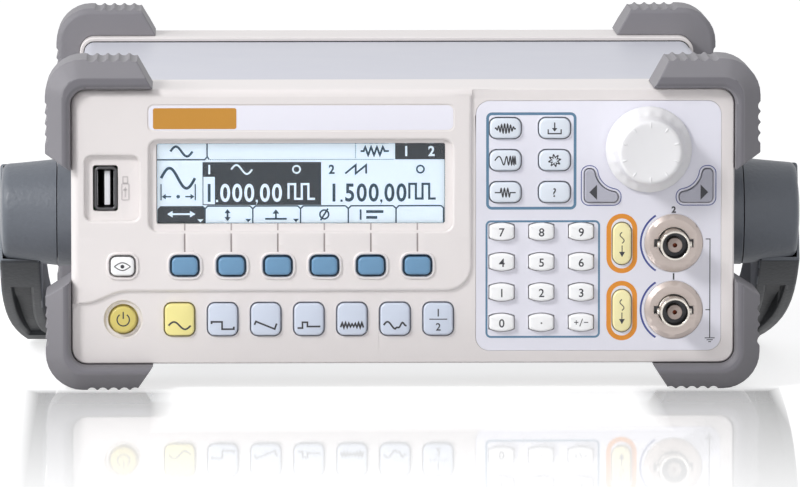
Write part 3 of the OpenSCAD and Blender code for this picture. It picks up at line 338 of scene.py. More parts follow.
def plastic(name, rgb, rough=0.42, scale=1500.0, depth=0.02, pebble=0.0, tone=0.035, rough_play=0.08,
            scuff=None, coat=0.0, rise=None):
    """Moulded plastic or rubber: grain in the normal, a slow tone in colour and gloss, and scuffs.

    scuff is its level and fade in metres, its strength and its share of the colour. rise is a low and a high
    place in metres, and the shares of the colour there: painted light and shade, the colour darkened or
    lightened by height as the lamps would do it."""
    made, tree, surface, place = start_material(name)
    grain = tree.group(grain_group(), {"Vector": place, "Scale": scale, "Pebble": pebble})

    def toned(share=1.0):
        return tree.blend(grain["Tone"], shaded(rgb, (1 - tone) * share), shaded(rgb, (1 + tone) * share))

    gloss = tree.span(grain["Tone"], 0.3, 0.7, rough - rough_play / 2, rough + rough_play / 2)
    # Painted light and shade: the colour is darkened or lightened by height, as light falls
    if rise:
        low, high, deep, full = rise
        base = tree.blend(tree.span(tree.axes(place)["Z"], low, high), toned(deep), toned(full))
    else:
        base = toned()
    if scuff:
        level, fade, strength, share = scuff
        marks = tree.group(scuff_group(), {"Vector": place, "Level": level, "Fade": fade})
        mask = tree.math("MULTIPLY", marks["Mask"], strength)
        base = tree.blend(mask, base, shaded(rgb, share))
        gloss = tree.math("ADD", gloss, tree.math("MULTIPLY", mask, 0.25), clamp=True)
    tree.give(surface, {"Base Color": base, "Roughness": gloss, "Normal": tree.bump(grain["Height"], depth),
                        "Coat Weight": coat, "Coat Roughness": 0.12})
    return made


def metal(name, rgb, rough=0.28, depth=0.004, tone=0.08):
    """Plated or rolled metal with fine scratches and a cloudy gloss."""
    made, tree, surface, place = start_material(name)
    brushed = tree.group(brushed_group(), {"Vector": place})
    base = tree.blend(brushed["Tone"], shaded(rgb, 1 - tone), shaded(rgb, 1 + tone))
    gloss = tree.span(brushed["Height"], 0.3, 0.7, rough - 0.06, rough + 0.08)
    tree.give(surface, {"Base Color": base, "Roughness": gloss, "Metallic": 1.0,
                        "Normal": tree.bump(brushed["Height"], depth)})
    return made


def ink(name, rgb, rough):
    """Screen-printed ink: a little uneven in colour, gloss and thickness."""
    return plastic(name, rgb, rough=rough, scale=2600.0, depth=0.006, tone=0.05, rough_play=0.12)


def lit(name, rgb, glow, dots):
    """Display material: dots that glow, with the ground between them."""
    made, tree, surface, place = start_material(name)
    dot = tree.math("MULTIPLY", tree.group(dot_group(), {"Vector": place})["Dot"], dots)
    cloud = tree.span(tree.noise(place, 30.0, 2.0), 0.3, 0.7, 0.0, 0.10)
    seen = tree.blend(cloud, tree.blend(dot, shaded(rgb, 1.0), shaded(rgb, 0.55)), shaded(rgb, 0.82))
    tree.give(surface, {"Base Color": seen, "Emission Color": seen, "Emission Strength": glow,
                        "Roughness": 0.6, "Specular IOR Level": 0.2})
    return made


def clear_lens(name):
    """Clear lens of the display, with faint wipe marks in its gloss."""
    made, tree, surface, place = start_material(name)
    wipe = tree.span(tree.noise(place, 120.0, 5.0), 0.4, 0.8, 0.0, 0.05)
    tree.give(surface, {"Roughness": wipe, "Base Color": (0.97, 0.985, 1.0, 1.0),
                        "Transmission Weight": 1.0, "IOR": 1.35})
    return made


def finishes():
    """Makes every material once, by its plain name."""
    c = colours()
    grip = {"pebble": 0.9, "tone": 0.07, "scuff": (0.001, 0.012, 0.35, 1.35)}
    made = {
        # rise paints light and shade by height: the bezel darker low down, the overlay lighter high up, the
        # bumpers darker low down
        "bezel": plastic("Bezel plastic", c.bezel, 0.40, 1300, 0.012, tone=0.02,
                         scuff=(0.008, 0.02, 0.10, 0.8), rise=(0.010, 0.034, 0.87, 1.0)),
        "groove": plastic("Groove shade", linear(178, 168, 168), 0.6, 1300, 0.01),
        "overlay": plastic("Overlay film", c.overlay, 0.46, 2400, 0.008, tone=0.012,
                           rise=(0.066, 0.092, 1.0, 1.13)),
        "cover": plastic("Cover paint", c.cover, 0.44, 900, 0.02, tone=0.025, coat=0.05),
        "bumper": plastic("Bumper rubber", c.bumper, 0.58, 1500, 0.035, tone=0.06,
                          scuff=(0.0, 0.006, 0.55, 0.72), rise=(0.0, 0.034, 0.74, 1.03)),
        # Painted shade: the bumper rubber darkened for the flat front band
        "bumper_band_shade": plastic("Bumper band painted shade", linear(112, 110, 116), 0.5, 1500, 0.03, tone=0.06),
        "handle": plastic("Handle plastic", c.handle, 0.44, 1250, 0.09, **grip),
        # Painted shade: the handle's own colour darkened for the arms and the bar
        "handle_arm_shade": plastic("Handle arm painted shade", shaded(c.handle, 0.24)[:3], 0.55, 1250, 0.09, **grip),
        "key_grey": plastic("Grey key plastic", c.key_grey, 0.40, 2000, 0.01, tone=0.03),
        "knob": plastic("Knob plastic", c.knob, 0.40, 1800, 0.01, tone=0.015),
        "insulator": plastic("Jack insulator", linear(176, 160, 152), 0.5, 2600, 0.01),
        "dark": plastic("Dark plastic", linear(44, 45, 48), 0.42, 1600, 0.03, tone=0.06),
        "board": plastic("Board lacquer", linear(30, 104, 62), 0.3, 1800, 0.01, tone=0.12),
        "mat": plastic("Key mat rubber", linear(188, 188, 184), 0.6, 1400, 0.02),
        "supply": plastic("Supply parts", linear(150, 128, 74), 0.5, 1400, 0.02, tone=0.1),
        "rear_paint": plastic("Rear wall paint", linear(196, 198, 206), 0.45, 900, 0.02, tone=0.03),
        "boss": metal("Boss plating", linear(180, 169, 164), 0.42, 0.003, 0.05),
        "nickel": metal("Nickel plating", linear(206, 200, 192), 0.22),
        "steel": metal("Zinc steel", linear(188, 190, 194), 0.36),
        "brass": metal("Gold plating", linear(120, 66, 48), 0.3),
        # Dark metal of the USB socket, also used as painted shade inside the jacks
        "dark_metal": metal("Dark shell and jack shade", linear(84, 84, 86), 0.34),
        "lcd_light": lit("Display light", c.lcd_light, 0.30, 0.10),
        "lcd_dark": lit("Display dark", c.lcd_dark, 0.1, 0.25),
        "lcd_line": lit("Display line", linear(28, 66, 86), 0.1, 0.2),
        "lens": clear_lens("Display lens"),
    }
    for name, title, rgb, rough, depth, tone, coat in (
            ("key_pale", "Pale", c.key_pale, 0.38, 0.006, 0.015, 0.15),
            ("key_white", "White", c.key_white, 0.36, 0.006, 0.012, 0.15),
            ("key_mode", "Mode", linear(228, 235, 245), 0.38, 0.006, 0.015, 0.15),
            ("key_blue", "Blue", c.key_blue, 0.38, 0.008, 0.03, 0.1),
            ("key_yellow", "Yellow", c.key_yellow, 0.36, 0.006, 0.02, 0.15),
            ("key_power", "Power", linear(214, 197, 108), 0.36, 0.006, 0.02, 0.1),
            ("key_output", "Output", linear(246, 236, 180), 0.36, 0.006, 0.02, 0.15)):
        made[name] = plastic(title + " key plastic", rgb, rough, 2200, depth, tone=tone, coat=coat)
    for title, rgb, rough in (("Frame", c.frame_ink, 0.5), ("Arc", c.arc_ink, 0.5), ("Dark", c.dark_ink, 0.5),
                              ("Orange", c.orange_ink, 0.42), ("Plate", c.plate, 0.38),
                              ("Pale", linear(236, 236, 240), 0.5), ("Faint", linear(206, 200, 200), 0.5)):
        made[title.lower() + "_ink"] = ink(title + " ink", rgb, rough)
    return made


PAINT = {}


def paint(name):
    """A finish by its name, made at the first call."""
    if not PAINT:
        PAINT.update(finishes())
    return PAINT[name]


# ------------------------------------------------------------------ meshes
def add_piece(name, mesh, materials, body, sharp=32.0):
    """Links a mesh as a smooth piece with sharp edges past an angle, riding on a CAD body."""
    for each in materials:
        mesh.materials.append(paint(each))
    mesh.shade_smooth()
    mesh.set_sharp_from_angle(angle=math.radians(sharp))
    piece = bpy.data.objects.new(name, mesh)
    bpy.context.scene.collection.objects.link(piece)
    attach(piece, body)
    return piece


def solid_mesh(name, points, faces, weld=1e-6):
    """Mesh from millimetre points, with doubles merged and faces turned outwards."""
    mesh = bpy.data.meshes.new(name)
    mesh.from_pydata((np.asarray(points) * MM).tolist(), [], faces)
    work = bmesh.new()
    work.from_mesh(mesh)
    bmesh.ops.remove_doubles(work, verts=work.verts, dist=weld)
    bmesh.ops.recalc_face_normals(work, faces=work.faces)
    work.to_mesh(mesh)
    work.free()
    return mesh


def grid_faces(rows, columns, start=0, closed_rows=False):
    """Quads of a grid whose columns close on themselves."""
    r = np.arange(rows if closed_rows else rows - 1)[:, None]
    c = np.arange(columns)[None, :]
    after, beside = (r + 1) % rows, (c + 1) % columns
    quads = np.stack(np.broadcast_arrays(r * columns + c, r * columns + beside,
                                         after * columns + beside, after * columns + c), -1)
    return (quads.reshape(-1, 4) + start).tolist()


def shells(name, parts, material, body, sharp=32.0, closed_rows=False):
    """Closed skins over rings of points, as one piece. Each part is an array of rows, points and X, Y, Z,
    all of one shape. The rows close on themselves, or the first and the last are drawn to a point each."""
    rows, columns = parts[0].shape[:2]
    faces = [face for i in range(len(parts))
             for face in grid_faces(rows, columns, i * rows * columns, closed_rows)]
    mesh = solid_mesh(name, np.concatenate([part.reshape(-1, 3) for part in parts]), faces)
    return add_piece(name, mesh, [material], body, sharp)


def dressed(node, name, width, material, body="case", segments=2, angle=32.0, weight=None,
            extra=(), choose=None, flat=1.0, cuts=((), ())):
    """Copy of a CAD node, merged, with flat faces joined and its sharp edges rounded.

    An outward edge is rounded by width times its weight. weight(middles) gives 0 to 1 for every such
    edge. choose(centres, normals, corners) gives a material number for every face. cuts are places in X
    and in Z where planes part the faces, so that no face has a hole inside it."""
    mesh = frame["nodes"][node].data.copy()
    mesh.name = name
    mesh.materials.clear()
    work = bmesh.new()
    work.from_mesh(mesh)
    bmesh.ops.remove_doubles(work, verts=work.verts, dist=WELD)
    bmesh.ops.dissolve_limit(work, angle_limit=math.radians(flat), verts=work.verts, edges=work.edges)
    for axis, places in zip(((1, 0, 0), (0, 0, 1)), cuts):
        for place in places:
            bmesh.ops.bisect_plane(work, geom=[*work.verts, *work.edges, *work.faces], dist=SNAP,
                                   plane_co=Vector(axis) * place * MM, plane_no=axis)
    layer = work.edges.layers.float.new("bevel_weight_edge")
    sharp = [e for e in work.edges if len(e.link_faces) == 2 and e.is_convex
             and e.calc_face_angle(0.0) > math.radians(angle)]
    if sharp:
        ends = np.array([[v.co[:] for v in e.verts] for e in sharp]) / MM
        shares = np.ones(len(sharp)) if weight is None else weight(ends.mean(1))
        for edge, share in zip(sharp, shares):
            edge[layer] = float(share)
    numbers = np.zeros(len(work.faces))
    if choose is not None:
        centres = np.array([f.calc_center_median()[:] for f in work.faces]) / MM
        normals = np.array([f.normal[:] for f in work.faces])
        corners = [np.array([v.co[:] for v in f.verts]) / MM for f in work.faces]
        numbers = choose(centres, normals, corners)
    for face, number in zip(work.faces, numbers):
        face.material_index = int(number)
    work.to_mesh(mesh)
    work.free()
    piece = add_piece(name, mesh, [material, *extra], body, angle)
    if width:
        bevel = piece.modifiers.new("Rounded edges", "BEVEL")
        bevel.width, bevel.segments = width * MM, segments
        bevel.limit_method, bevel.use_clamp_overlap, bevel.loop_slide = "WEIGHT", False, False
    even = piece.modifiers.new("Flat faces first", "WEIGHTED_NORMAL")
    even.mode, even.weight, even.keep_sharp = "FACE_AREA", 50, True
    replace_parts(piece, node)


def carried(node, material):
    """Gives a carried-over CAD node a finish."""
    mesh = frame["nodes"][node].data
    mesh.materials.clear()
    mesh.materials.append(paint(material))


# ------------------------------------------------------------------ outlines in X and Z
def arc(cx, cz, r, a0, a1, n=9, hollow=False):
    """Points and outward normals of an arc: centre + r (cos a, sin a), a in degrees."""
    a = np.radians(np.linspace(a0, a1, n))
    out = np.stack([np.cos(a), np.sin(a)], 1)
    return np.array([cx, cz]) + r * out, (-out if hollow else out)


def joined(*arcs):
    """One outline from arcs in their order."""
    return np.concatenate([a[0] for a in arcs]), np.concatenate([a[1] for a in arcs])


def rounded(w, h, r, n=7):
    """Rounded rectangle, from four quarter arcs."""
    x, z = w / 2 - r, h / 2 - r
    return joined(arc(x, -z, r, -90, 0, n), arc(x, z, r, 0, 90, n),
                  arc(-x, z, r, 90, 180, n), arc(-x, -z, r, 180, 270, n))


def circle(r, n=48):
    """Circle around the origin."""
    turn = arc(0, 0, r, 0, 360, n + 1)
    return turn[0][:-1], turn[1][:-1]


def arched(w, h, rise, r=0.6):
    """Straight sides with arched top and bottom: the arch's radius is w²/8/rise + rise/2, and the
    corners are arcs of radius r that touch both."""
    big = w * w / 8 / rise + rise / 2
    x = w / 2 - r
    centre = h / 2 - big
    z = centre + math.sqrt((big - r) ** 2 - x * x)
    lean = math.degrees(math.atan2(z - centre, x))
    return joined(arc(x, -z, r, -lean, 0, 5), arc(x, z, r, 0, lean, 5),
                  arc(0, centre, big, lean, 180 - lean, 15), arc(-x, z, r, 180 - lean, 180, 5),
                  arc(-x, -z, r, 180, 180 + lean, 5), arc(0, -centre, big, 180 + lean, 360 - lean, 15))


def horn(side, grow=0.0):
    """Outline of an arrow key, set from the knob's axis: a square of 10.8 hollowed at its inner upper
    corner by a circle of radius 7.6, with corners rounded by 1.4, grown by grow. side is 1 or -1."""
    hollow, r = 7.6, 1.4
    inner, low, size = 10.0, -17.2, 10.8
    x0, x1, z0, z1 = inner + r, inner + size - r, low + r, low + size - r
    reach = math.sqrt((hollow + r) ** 2 - r ** 2)
    bend = math.degrees(math.atan2(r, reach))
    points, normals = joined(
        arc(x1, z0, r + grow, -90, 0, 7), arc(x1, z1, r + grow, 0, 90, 7),
        arc(inner + reach, z1, r + grow, 90, 180 - bend, 7),
        arc(inner, low + size, hollow - grow, -bend, bend - 90, 17, True),
        arc(x0, low + size - reach, r + grow, 90 + bend, 180, 7), arc(x0, z0, r + grow, 180, 270, 7))
    flip = np.array([side, 1])
    return points * flip, normals * flip


# ------------------------------------------------------------------ marks
def glyph(text, bold=0.012):
    """Vertices and faces of a line of text as a flat body: X and Y in the text's own unit, and Z
    above zero on the front. bold widens the strokes."""
    curve = bpy.data.curves.new("glyph", "FONT")
    curve.body, curve.extrude, curve.resolution_u, curve.offset = text, 0.5, 4, bold
    holder = bpy.data.objects.new("glyph", curve)
    mesh = holder.to_mesh()
    points = np.empty(len(mesh.vertices) * 3)
    mesh.vertices.foreach_get("co", points)
    faces = [list(p.vertices) for p in mesh.polygons]
    holder.to_mesh_clear()
    bpy.data.objects.remove(holder)
    bpy.data.curves.remove(curve)
    return points.reshape(-1, 3), faces


def resampled(path, most=0.7):
    """The path with points added so that no step is longer than most, and its own points kept."""
    steps = np.linalg.norm(np.diff(path, axis=0), axis=1)
    parts = np.maximum(1, np.ceil(steps / most).astype(int))
    place = np.concatenate([np.linspace(i, i + 1, k + 1)[:-1] for i, k in enumerate(parts)] + [[len(parts)]])
    whole = np.arange(len(path))
    return np.stack([np.interp(place, whole, path[:, 0]), np.interp(place, whole, path[:, 1])], 1)


class Marks:
    """Collects flat marks in a local X and Z, in millimetres, and lays them on a surface as one
    piece. Each mark is a closed flat body with a front and a back."""

    def __init__(self):
        self.points, self.faces, self.count = [], [], 0

    def take(self, flat, front, faces):
        """Adds points with a front flag of 1 or 0."""
        self.points.append(np.column_stack([flat, front]))
        self.faces += [[i + self.count for i in face] for face in faces]
        self.count += len(flat)
        return self

    def band(self, outline, width, centre=(0, 0)):
        """Closed line of a width inside an outline."""
        points, normals = outline
        outer, inner = points + centre, points - width * normals + centre
        flat = np.concatenate([outer, inner, inner, outer])
        front = np.repeat([1, 1, 0, 0], len(points))
        return self.take(flat, front, grid_faces(4, len(points), closed_rows=True))

    def stroke(self, path, width, centre=(0, 0)):
        """Line of a width along a path, with mitred bends: at each point the line's side lies along
        the mean of the two normals, lengthened by the bend."""
        path = resampled(np.asarray(path, float) + centre)
        step = np.diff(path, axis=0)
        step /= np.linalg.norm(step, axis=1)[:, None]
        before = np.concatenate([step[:1], step])
        after = np.concatenate([step, step[-1:]])
        mean = before + after
        mean /= np.maximum(np.linalg.norm(mean, axis=1), 1e-6)[:, None]
        side = np.stack([-mean[:, 1], mean[:, 0]], 1)
        reach = width / 2 / np.maximum((mean * before).sum(1), 0.45)[:, None]
        left, right = path + side * reach, path - side * reach
        n = len(path)
        rings = np.stack([left, right, right, left], 1).reshape(-1, 2)
        front = np.tile([1, 1, 0, 0], n)
        faces = grid_faces(n, 4) + [[0, 1, 2, 3], [4 * n - 1, 4 * n - 2, 4 * n - 3, 4 * n - 4]]
        return self.take(rings, front, faces)

    def fill(self, outline, centre=(0, 0)):
        """Filled outline."""
        points = np.asarray(outline, float) + centre
        n = len(points)
        ring = np.arange(n)
        beside = (ring + 1) % n
        sides = np.stack([ring, beside, beside + n, ring + n], 1).tolist()
        flat = np.concatenate([points, points])
        return self.take(flat, np.repeat([1, 0], n),
                         [ring.tolist(), (ring[::-1] + n).tolist(), *sides])

    def lines(self, width, *ends):
        """Straight lines of one width, each by the X and Z of its two ends."""
        for x0, z0, x1, z1 in ends:
            self.stroke([(x0, z0), (x1, z1)], width)
        return self

    def head(self, x, z, back, half, upright=False):
        """Filled triangle from a tip at X and Z, its base of twice half set back along X or upright."""
        ends = [(back, half), (back, -half)]
        return self.fill([(0, 0), *([end[::-1] for end in ends] if upright else ends)], (x, z))

    def text(self, words, height, centre=(0, 0), squeeze=1.0, bold=0.012):
        """Numbers or a sign, scaled so that a figure is height tall, centred by its box."""
        points, faces = glyph(words, bold)
        tall = np.ptp(glyph("0", bold)[0][:, 1])
        middle = (points.min(0) + points.max(0))[:2] / 2
        flat = (points[:, :2] - middle) * (height / tall) * (squeeze, 1)
        return self.take(flat + centre, (points[:, 2] > 0).astype(int), faces)

    def build(self, name, material, body, surface, origin=(0, 0), lift=None, sink=0.03):
        """Lays the marks on the surface y = surface(x, z), raised by lift towards the viewer."""
        lift = mm("ink_lift") if lift is None else lift
        x, z, front = np.concatenate(self.points).T
        y = surface(x, z) - np.where(front > 0, lift, -sink)
        mesh = solid_mesh(name, np.stack([origin[0] + x, y, origin[1] + z], 1), self.faces)
        return add_piece(name, mesh, [material], body, sharp=25.0)


def flat_at(y):
    """Surface at one depth."""
    return lambda x, z: np.full(np.shape(x), float(y))


def sine(width, height, turns=1.0, n=33):
    """Sine path around the origin: z = height / 2 sin(2 pi turns t)."""
    t = np.linspace(0, 1, n)
    return np.stack([width * t - width / 2, height / 2 * np.sin(2 * math.pi * turns * t)], 1)


def ring_path(r, a0, a1, n=25):
    """Arc path around the origin."""
    return arc(0, 0, r, a0, a1, n)[0]


# ------------------------------------------------------------------ keys
def key_outline(kind, w, h):
    """Outline of a key by its kind, for its width and height."""
    if kind == "digit":
        return arched(w, h, 0.9)
    if kind == "power":
        return circle(w / 2, 56)
    if kind == "output":
        return rounded(w, h, w / 2 - 0.01, 12)
    return rounded(w, h, {"mode": 2.4, "wave": 2.3}.get(kind, 2.0))


def key_dome(face, x, z):
    """Depth of a key's domed face: face + (x² + z²) / 2R."""
    return face + (x * x + z * z) / (2 * mm("key_dome"))


KEY_SLACK = {"soft": 0.38, "view": 0.3, "power": 0.35, "wave": 0.15, "mode": 0.15}


def key_cap(node, kind, material):
    """Key as one skin: from the middle of its back over its rim and wall, round its front edge and
    over the dome. The rings are the outline moved along its normals, then scaled to the middle. Some
    kinds stand a little in from their hole, by KEY_SLACK in millimetres."""
    low, high = node_box(node)
    centre = (low + high) / 2
    points, normals = key_outline(kind, *key_size(node))
    points = points - KEY_SLACK.get(kind, 0.0) * normals
    edge, face, back = mm("key_round"), low[1], high[1]
    seat = back - mm("key_rim_depth")
    inner = points - edge * normals
    turn = np.radians(np.linspace(0, 90, 6))[:, None]
    round_y = key_dome(face, *inner.T) + edge * (1 - np.sin(turn))
    round_p = points - (edge * (1 - np.cos(turn)))[:, :, None] * normals
    crown_p = inner * np.linspace(1, 0, 9)[1:, None, None]
    crown_y = key_dome(face, crown_p[..., 0], crown_p[..., 1])
    brim = points + mm("key_rim") * normals
    flat = np.concatenate([[0 * points, brim, brim, points], round_p, crown_p])
    depth = np.concatenate([np.repeat([[back], [back], [seat], [seat]], len(points), 1), round_y, crown_y])
    rings = np.stack([flat[..., 0] + centre[0], depth, flat[..., 1] + centre[2]], -1)
    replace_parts(shells(node + "_cap", [rings], material, node), node)


def mark_key(node, marks):
    """Lays marks on the dome of a key."""
    marks.build(node + "_mark", "dark_ink", node, lambda x, z: key_dome(front_of(node), x, z),
                middle_of(node)[[0, 2]])


def make_key_caps():
    """All domed keys, from a table of their kind, material and slot, the slot not used, and the two arrow
    keys.
    """
    looks = ((WAVE_KEYS[:1], "wave", "key_yellow", "key_yellow"),
             (WAVE_KEYS[1:], "wave", "key_pale", "key_blue"),
             (MODE_KEYS, "mode", "key_mode", "key_blue"),
             (NUMBER_KEYS, "digit", "key_white", "key_white"),
             (SOFT_KEYS, "soft", "key_blue", "soft_blue"),
             (OUTPUT_KEYS, "output", "key_output", "key_yellow"),
             (("view_key",), "view", "key_white", "key_white"),
             (("power_key",), "power", "key_power", "key_yellow"))
    for nodes, kind, material, slot in looks:
        for node in nodes:
            key_cap(node, kind, material)
    for node in ("left_key", "right_key"):
        dressed(node, node + "_cap", 0.5, "key_grey", node, segments=3, angle=40)


def wave_marks():
    """Path of each waveform, drawn in the lower half of its key."""
    square = [(-3.6, 0.5), (-3.6, 1.2), (-0.2, 1.2), (-0.2, -1.2), (3.6, -1.2), (3.6, -0.4)]
    ramp = [(-3.7, 0.2), (-3.2, 1.3), (2.9, -1.2), (3.5, 0.6)]
    pulse = [(-3.7, -0.9), (-2.1, -0.9), (-2.1, 1.0), (-0.5, 1.0), (-0.5, -0.4), (3.7, -0.4)]
    t, s = np.linspace(0, 1, 15), np.linspace(0, 1, 41)
    teeth = 0.9 * np.where(np.arange(15) % 2, 1, -1) * (0.75 + 0.3 * np.sin(9 * t))
    free = (1.25 * np.sin(2 * math.pi * 1.45 * s) * (1 - 0.35 * s) - 0.4 * s
            + 0.35 * np.sin(2 * math.pi * 4 * s) * (s > 0.5))
    paths = (sine(7.2, 2.4), square, ramp, pulse, np.stack([-3.7 + 7.4 * t, teeth], 1),
             np.stack([-3.7 + 7.4 * s, free], 1))
    for node, path in zip(WAVE_KEYS, paths):
        mark_key(node, Marks().stroke(path, mm("wave_line"), (0, -1.9)))
    both = Marks().text("1", 2.5, (0, 2.1)).text("2", 2.5, (0, -2.5)).lines(0.3, (-2.9, 0, 2.9, 0))
    mark_key("channel_key", both)


def mode_marks():
    """Wordless signs of the mode keys."""
    line = mm("icon_line")
    t = np.linspace(0, 1, 97)
    swell = np.stack([-3.4 + 6.8 * t, 1.5 * np.sin(math.pi * t) * np.sin(2 * math.pi * 7 * t)], 1)
    chirp = np.stack([-3.4 + 6.8 * t, 1.35 * np.sin(2 * math.pi * (1.1 * t + 3.6 * t * t * t))], 1)
    packet = np.concatenate([[(-3.4, 0)], sine(3.2, 2.7, 3, 49), [(3.4, 0)]])
    for node, path in zip(MODE_KEYS, (swell, chirp, packet)):
        mark_key(node, Marks().stroke(path, line))
    tray = Marks().stroke([(-2.1, -0.3), (-2.1, -1.7), (2.1, -1.7), (2.1, -0.3)], line)
    mark_key("store_key", tray.lines(line, (0, 1.9, 0, -0.2)).head(0, -1.0, 1.1, 0.9, True))
    a = np.radians(np.arange(0, 360, 7.5))
    r = 1.75 + 0.42 * np.sign(np.sin(8 * a)) * np.abs(np.sin(8 * a)) ** 0.3
    out = np.stack([np.cos(a), np.sin(a)], 1)
    mark_key("utility_key", Marks().band((r[:, None] * out, out), 0.75))
    mark_key("help_key", Marks().text("?", 2.9))


def small_marks():
    """Numbers, view sign, power sign, output signs and the arrow keys' triangles."""
    height = mm("number_height")
    for node, figure in DIGITS.items():
        mark_key(node, Marks().text(figure, height, (0, -0.15)))
    mark_key("point_key", Marks().fill(circle(0.28, 16)[0], (0, -0.1)))
    mark_key("sign_key", Marks().lines(0.28, (-2.3, 0.1, -0.9, 0.1), (-1.6, -0.6, -1.6, 0.8),
                                       (-0.45, -1.2, 0.45, 1.3), (0.9, 0.1, 2.3, 0.1)))
    lens = [(x, 1.25 * math.sin(math.pi * (x + 2.6) / 5.2)) for x in np.linspace(-2.6, 2.6, 15)]
    eye = Marks().stroke(lens, 0.3).stroke([(x, -z) for x, z in lens], 0.3).fill(circle(0.62, 20)[0])
    mark_key("view_key", eye)
    mark_key("power_key", Marks().stroke(ring_path(2.0, 125, 415), 0.42).lines(0.42, (0, 0.3, 0, 2.6)))
    for node in OUTPUT_KEYS:
        flow = Marks().stroke(sine(3.6, 1.3)[:, ::-1] + (0, 2.0), 0.3).lines(0.3, (0, -0.5, 0, -3.2))
        mark_key(node, flow.head(0, -4.3, 1.7, 0.95, True))
    origin = middle_of("rotary_encoder")[[0, 2]]
    for node, side in (("left_key", -1), ("right_key", 1)):
        arrow = Marks().head(side * 19.3, -13.9, -2.5 * side, 2.5)
        arrow.build(node + "_mark", "dark_ink", node, flat_at(front_of(node)), origin)


# ------------------------------------------------------------------ panel print and display
def frame_around(marks, nodes, left, right, under, over, radius, width):
    """Rounded frame around keys without their rims, by its margins, corner radius and line width."""
    boxes = [node_box(n) for n in nodes]
    low = np.min([b[0] for b in boxes], 0) + mm("key_rim")
    high = np.max([b[1] for b in boxes], 0) - mm("key_rim")
    x0, x1, z0, z1 = low[0] - left, high[0] + right, low[2] - under, high[2] + over
    marks.band(rounded(x1 - x0, z1 - z0, radius), width, ((x0 + x1) / 2, (z0 + z1) / 2))


def panel_print():
    """Frames, rings, output fields, arcs and the earth line on the control overlay."""
    blue, rings, fields, arcs, earth = (Marks() for _ in range(5))
    frame_around(blue, MODE_KEYS, 1.0, 2.0, 2.3, 1.7, 1.9, mm("block_line"))
    frame_around(blue, NUMBER_KEYS, 1.25, 2.2, 2.25, 0.75, 1.7, 0.65)
    for side in (-1, 1):
        rings.band(horn(side, 1.2), 0.28, middle_of("rotary_encoder")[[0, 2]])
    for node in OUTPUT_KEYS:
        fields.band(rounded(10.0, 19.4, 4.99, 14), 1.55, middle_of(node)[[0, 2]])
    jacks = jack_places()
    for place, figure in zip(jacks, ("2", "1")):
        arcs.stroke(ring_path(10.7, 123, 237, 31), 0.62, place)
        earth.text(figure, 2.2, (place[0], place[1] + 10.9), bold=0.04)
    # Line from both jacks down to the earth sign
    (x, upper), lower = jacks[0], jacks[1][1]
    x, low = x + 11.8, lower - 9.2
    earth.stroke([(x - 1.4, upper + 1.3), (x, upper + 1.3), (x, low)], 0.3)
    earth.lines(0.3, (x - 1.4, lower, x - 0.15, lower))
    for i, half in enumerate((1.6, 1.0, 0.45)):
        earth.lines(0.28, (x - half, low - 0.62 * i, x + half, low - 0.62 * i))
    for marks, name, material in (
            (blue, "key_block_frames", "frame_ink"), (rings, "arrow_key_rings", "arc_ink"),
            (fields, "output_fields", "orange_ink"), (arcs, "jack_arcs", "arc_ink"),
            (earth, "jack_print", "dark_ink")):
        marks.build(name, material, "case", flat_at(front_of("control_overlay")))


def jack_places():
    """X and Z of the two front jacks, the upper one first."""
    low, high = node_box("front_bezel")
    return [(high[0] - JACK_IN, low[2] + up) for up in JACK_UP]


def rear_jack_places():
    """X and Z of the four rear jacks."""
    low = node_box("front_bezel")[0]
    return [(low[0] + REAR_JACK_FROM + REAR_JACK_PITCH * i, low[2] + REAR_JACK_UP) for i in range(4)]


def guide_lines():
    """Painted shade on the floors of the guide grooves, and on their runs over the recess below the display.
    """
    front, bottom = front_of("front_bezel"), middle_of("display_window")[2] - SCREEN_HEIGHT / 2
    runs, floors = Marks(), Marks()
    for node in SOFT_KEYS:
        x, key_top = middle_of(node)[0], node_box(node)[1][2]
        runs.fill(box_path(x - 0.24, bottom - 2.3, x + 0.24, bottom - 0.05))
        floors.fill(box_path(x - 0.26, key_top + 0.5, x + 0.26, bottom - 3.2))
    runs.build("guide_runs", "groove", "case", flat_at(front + 1.8), lift=0.03)
    floors.build("guide_floors", "groove", "case", flat_at(front + 0.4), lift=0.03)


def name_strip():
    """Pale strip above the display with a bare amber plate at its left end."""
    front, origin = front_of("front_bezel"), (middle_of("display_window")[0], strip_height())
    strip = Marks().fill(rounded(98.6, 8.0, 1.8)[0])
    strip.build("name_strip", "overlay", "case", flat_at(front + 0.3), origin, 0.06)
    plate = Marks().fill(rounded(27.0, 6.8, 0.7)[0], (-34.4, -0.2))
    plate.build("amber_plate", "plate_ink", "case", flat_at(front + 0.24), origin, 0.05)


def strip_height():
    """Middle height of the name strip's recess."""
    return middle_of("display_window")[2] + STRIP_UP


def screen_layer(name, marks, material, layer):
    """Lays marks given from the display's upper left corner, with Z negative downwards. Each layer lies
    0.03 before the one under it."""
    middle, back = middle_of("display_window"), node_box("display_window")[1][1]
    origin = (middle[0] - SCREEN_WIDTH / 2, middle[2] + SCREEN_HEIGHT / 2)
    marks.build(name, material, "case", flat_at(back + 0.15 - 0.03 * layer), origin, 0.012, 0.01)


def box_path(x0, z0, x1, z1):
    """Corners of a rectangle."""
    return [(x0, z0), (x1, z0), (x1, z1), (x0, z1)]


def dots(marks, start, end, pitch=0.73, size=0.34):
    """Row of square dots from start to end."""
    start, end = np.array(start, float), np.array(end, float)
    for t in np.arange(0, 1, pitch / np.linalg.norm(end - start)):
        x, z = start + (end - start) * t
        marks.fill(box_path(x, z - size / 2, x + size, z + size / 2))
    return marks


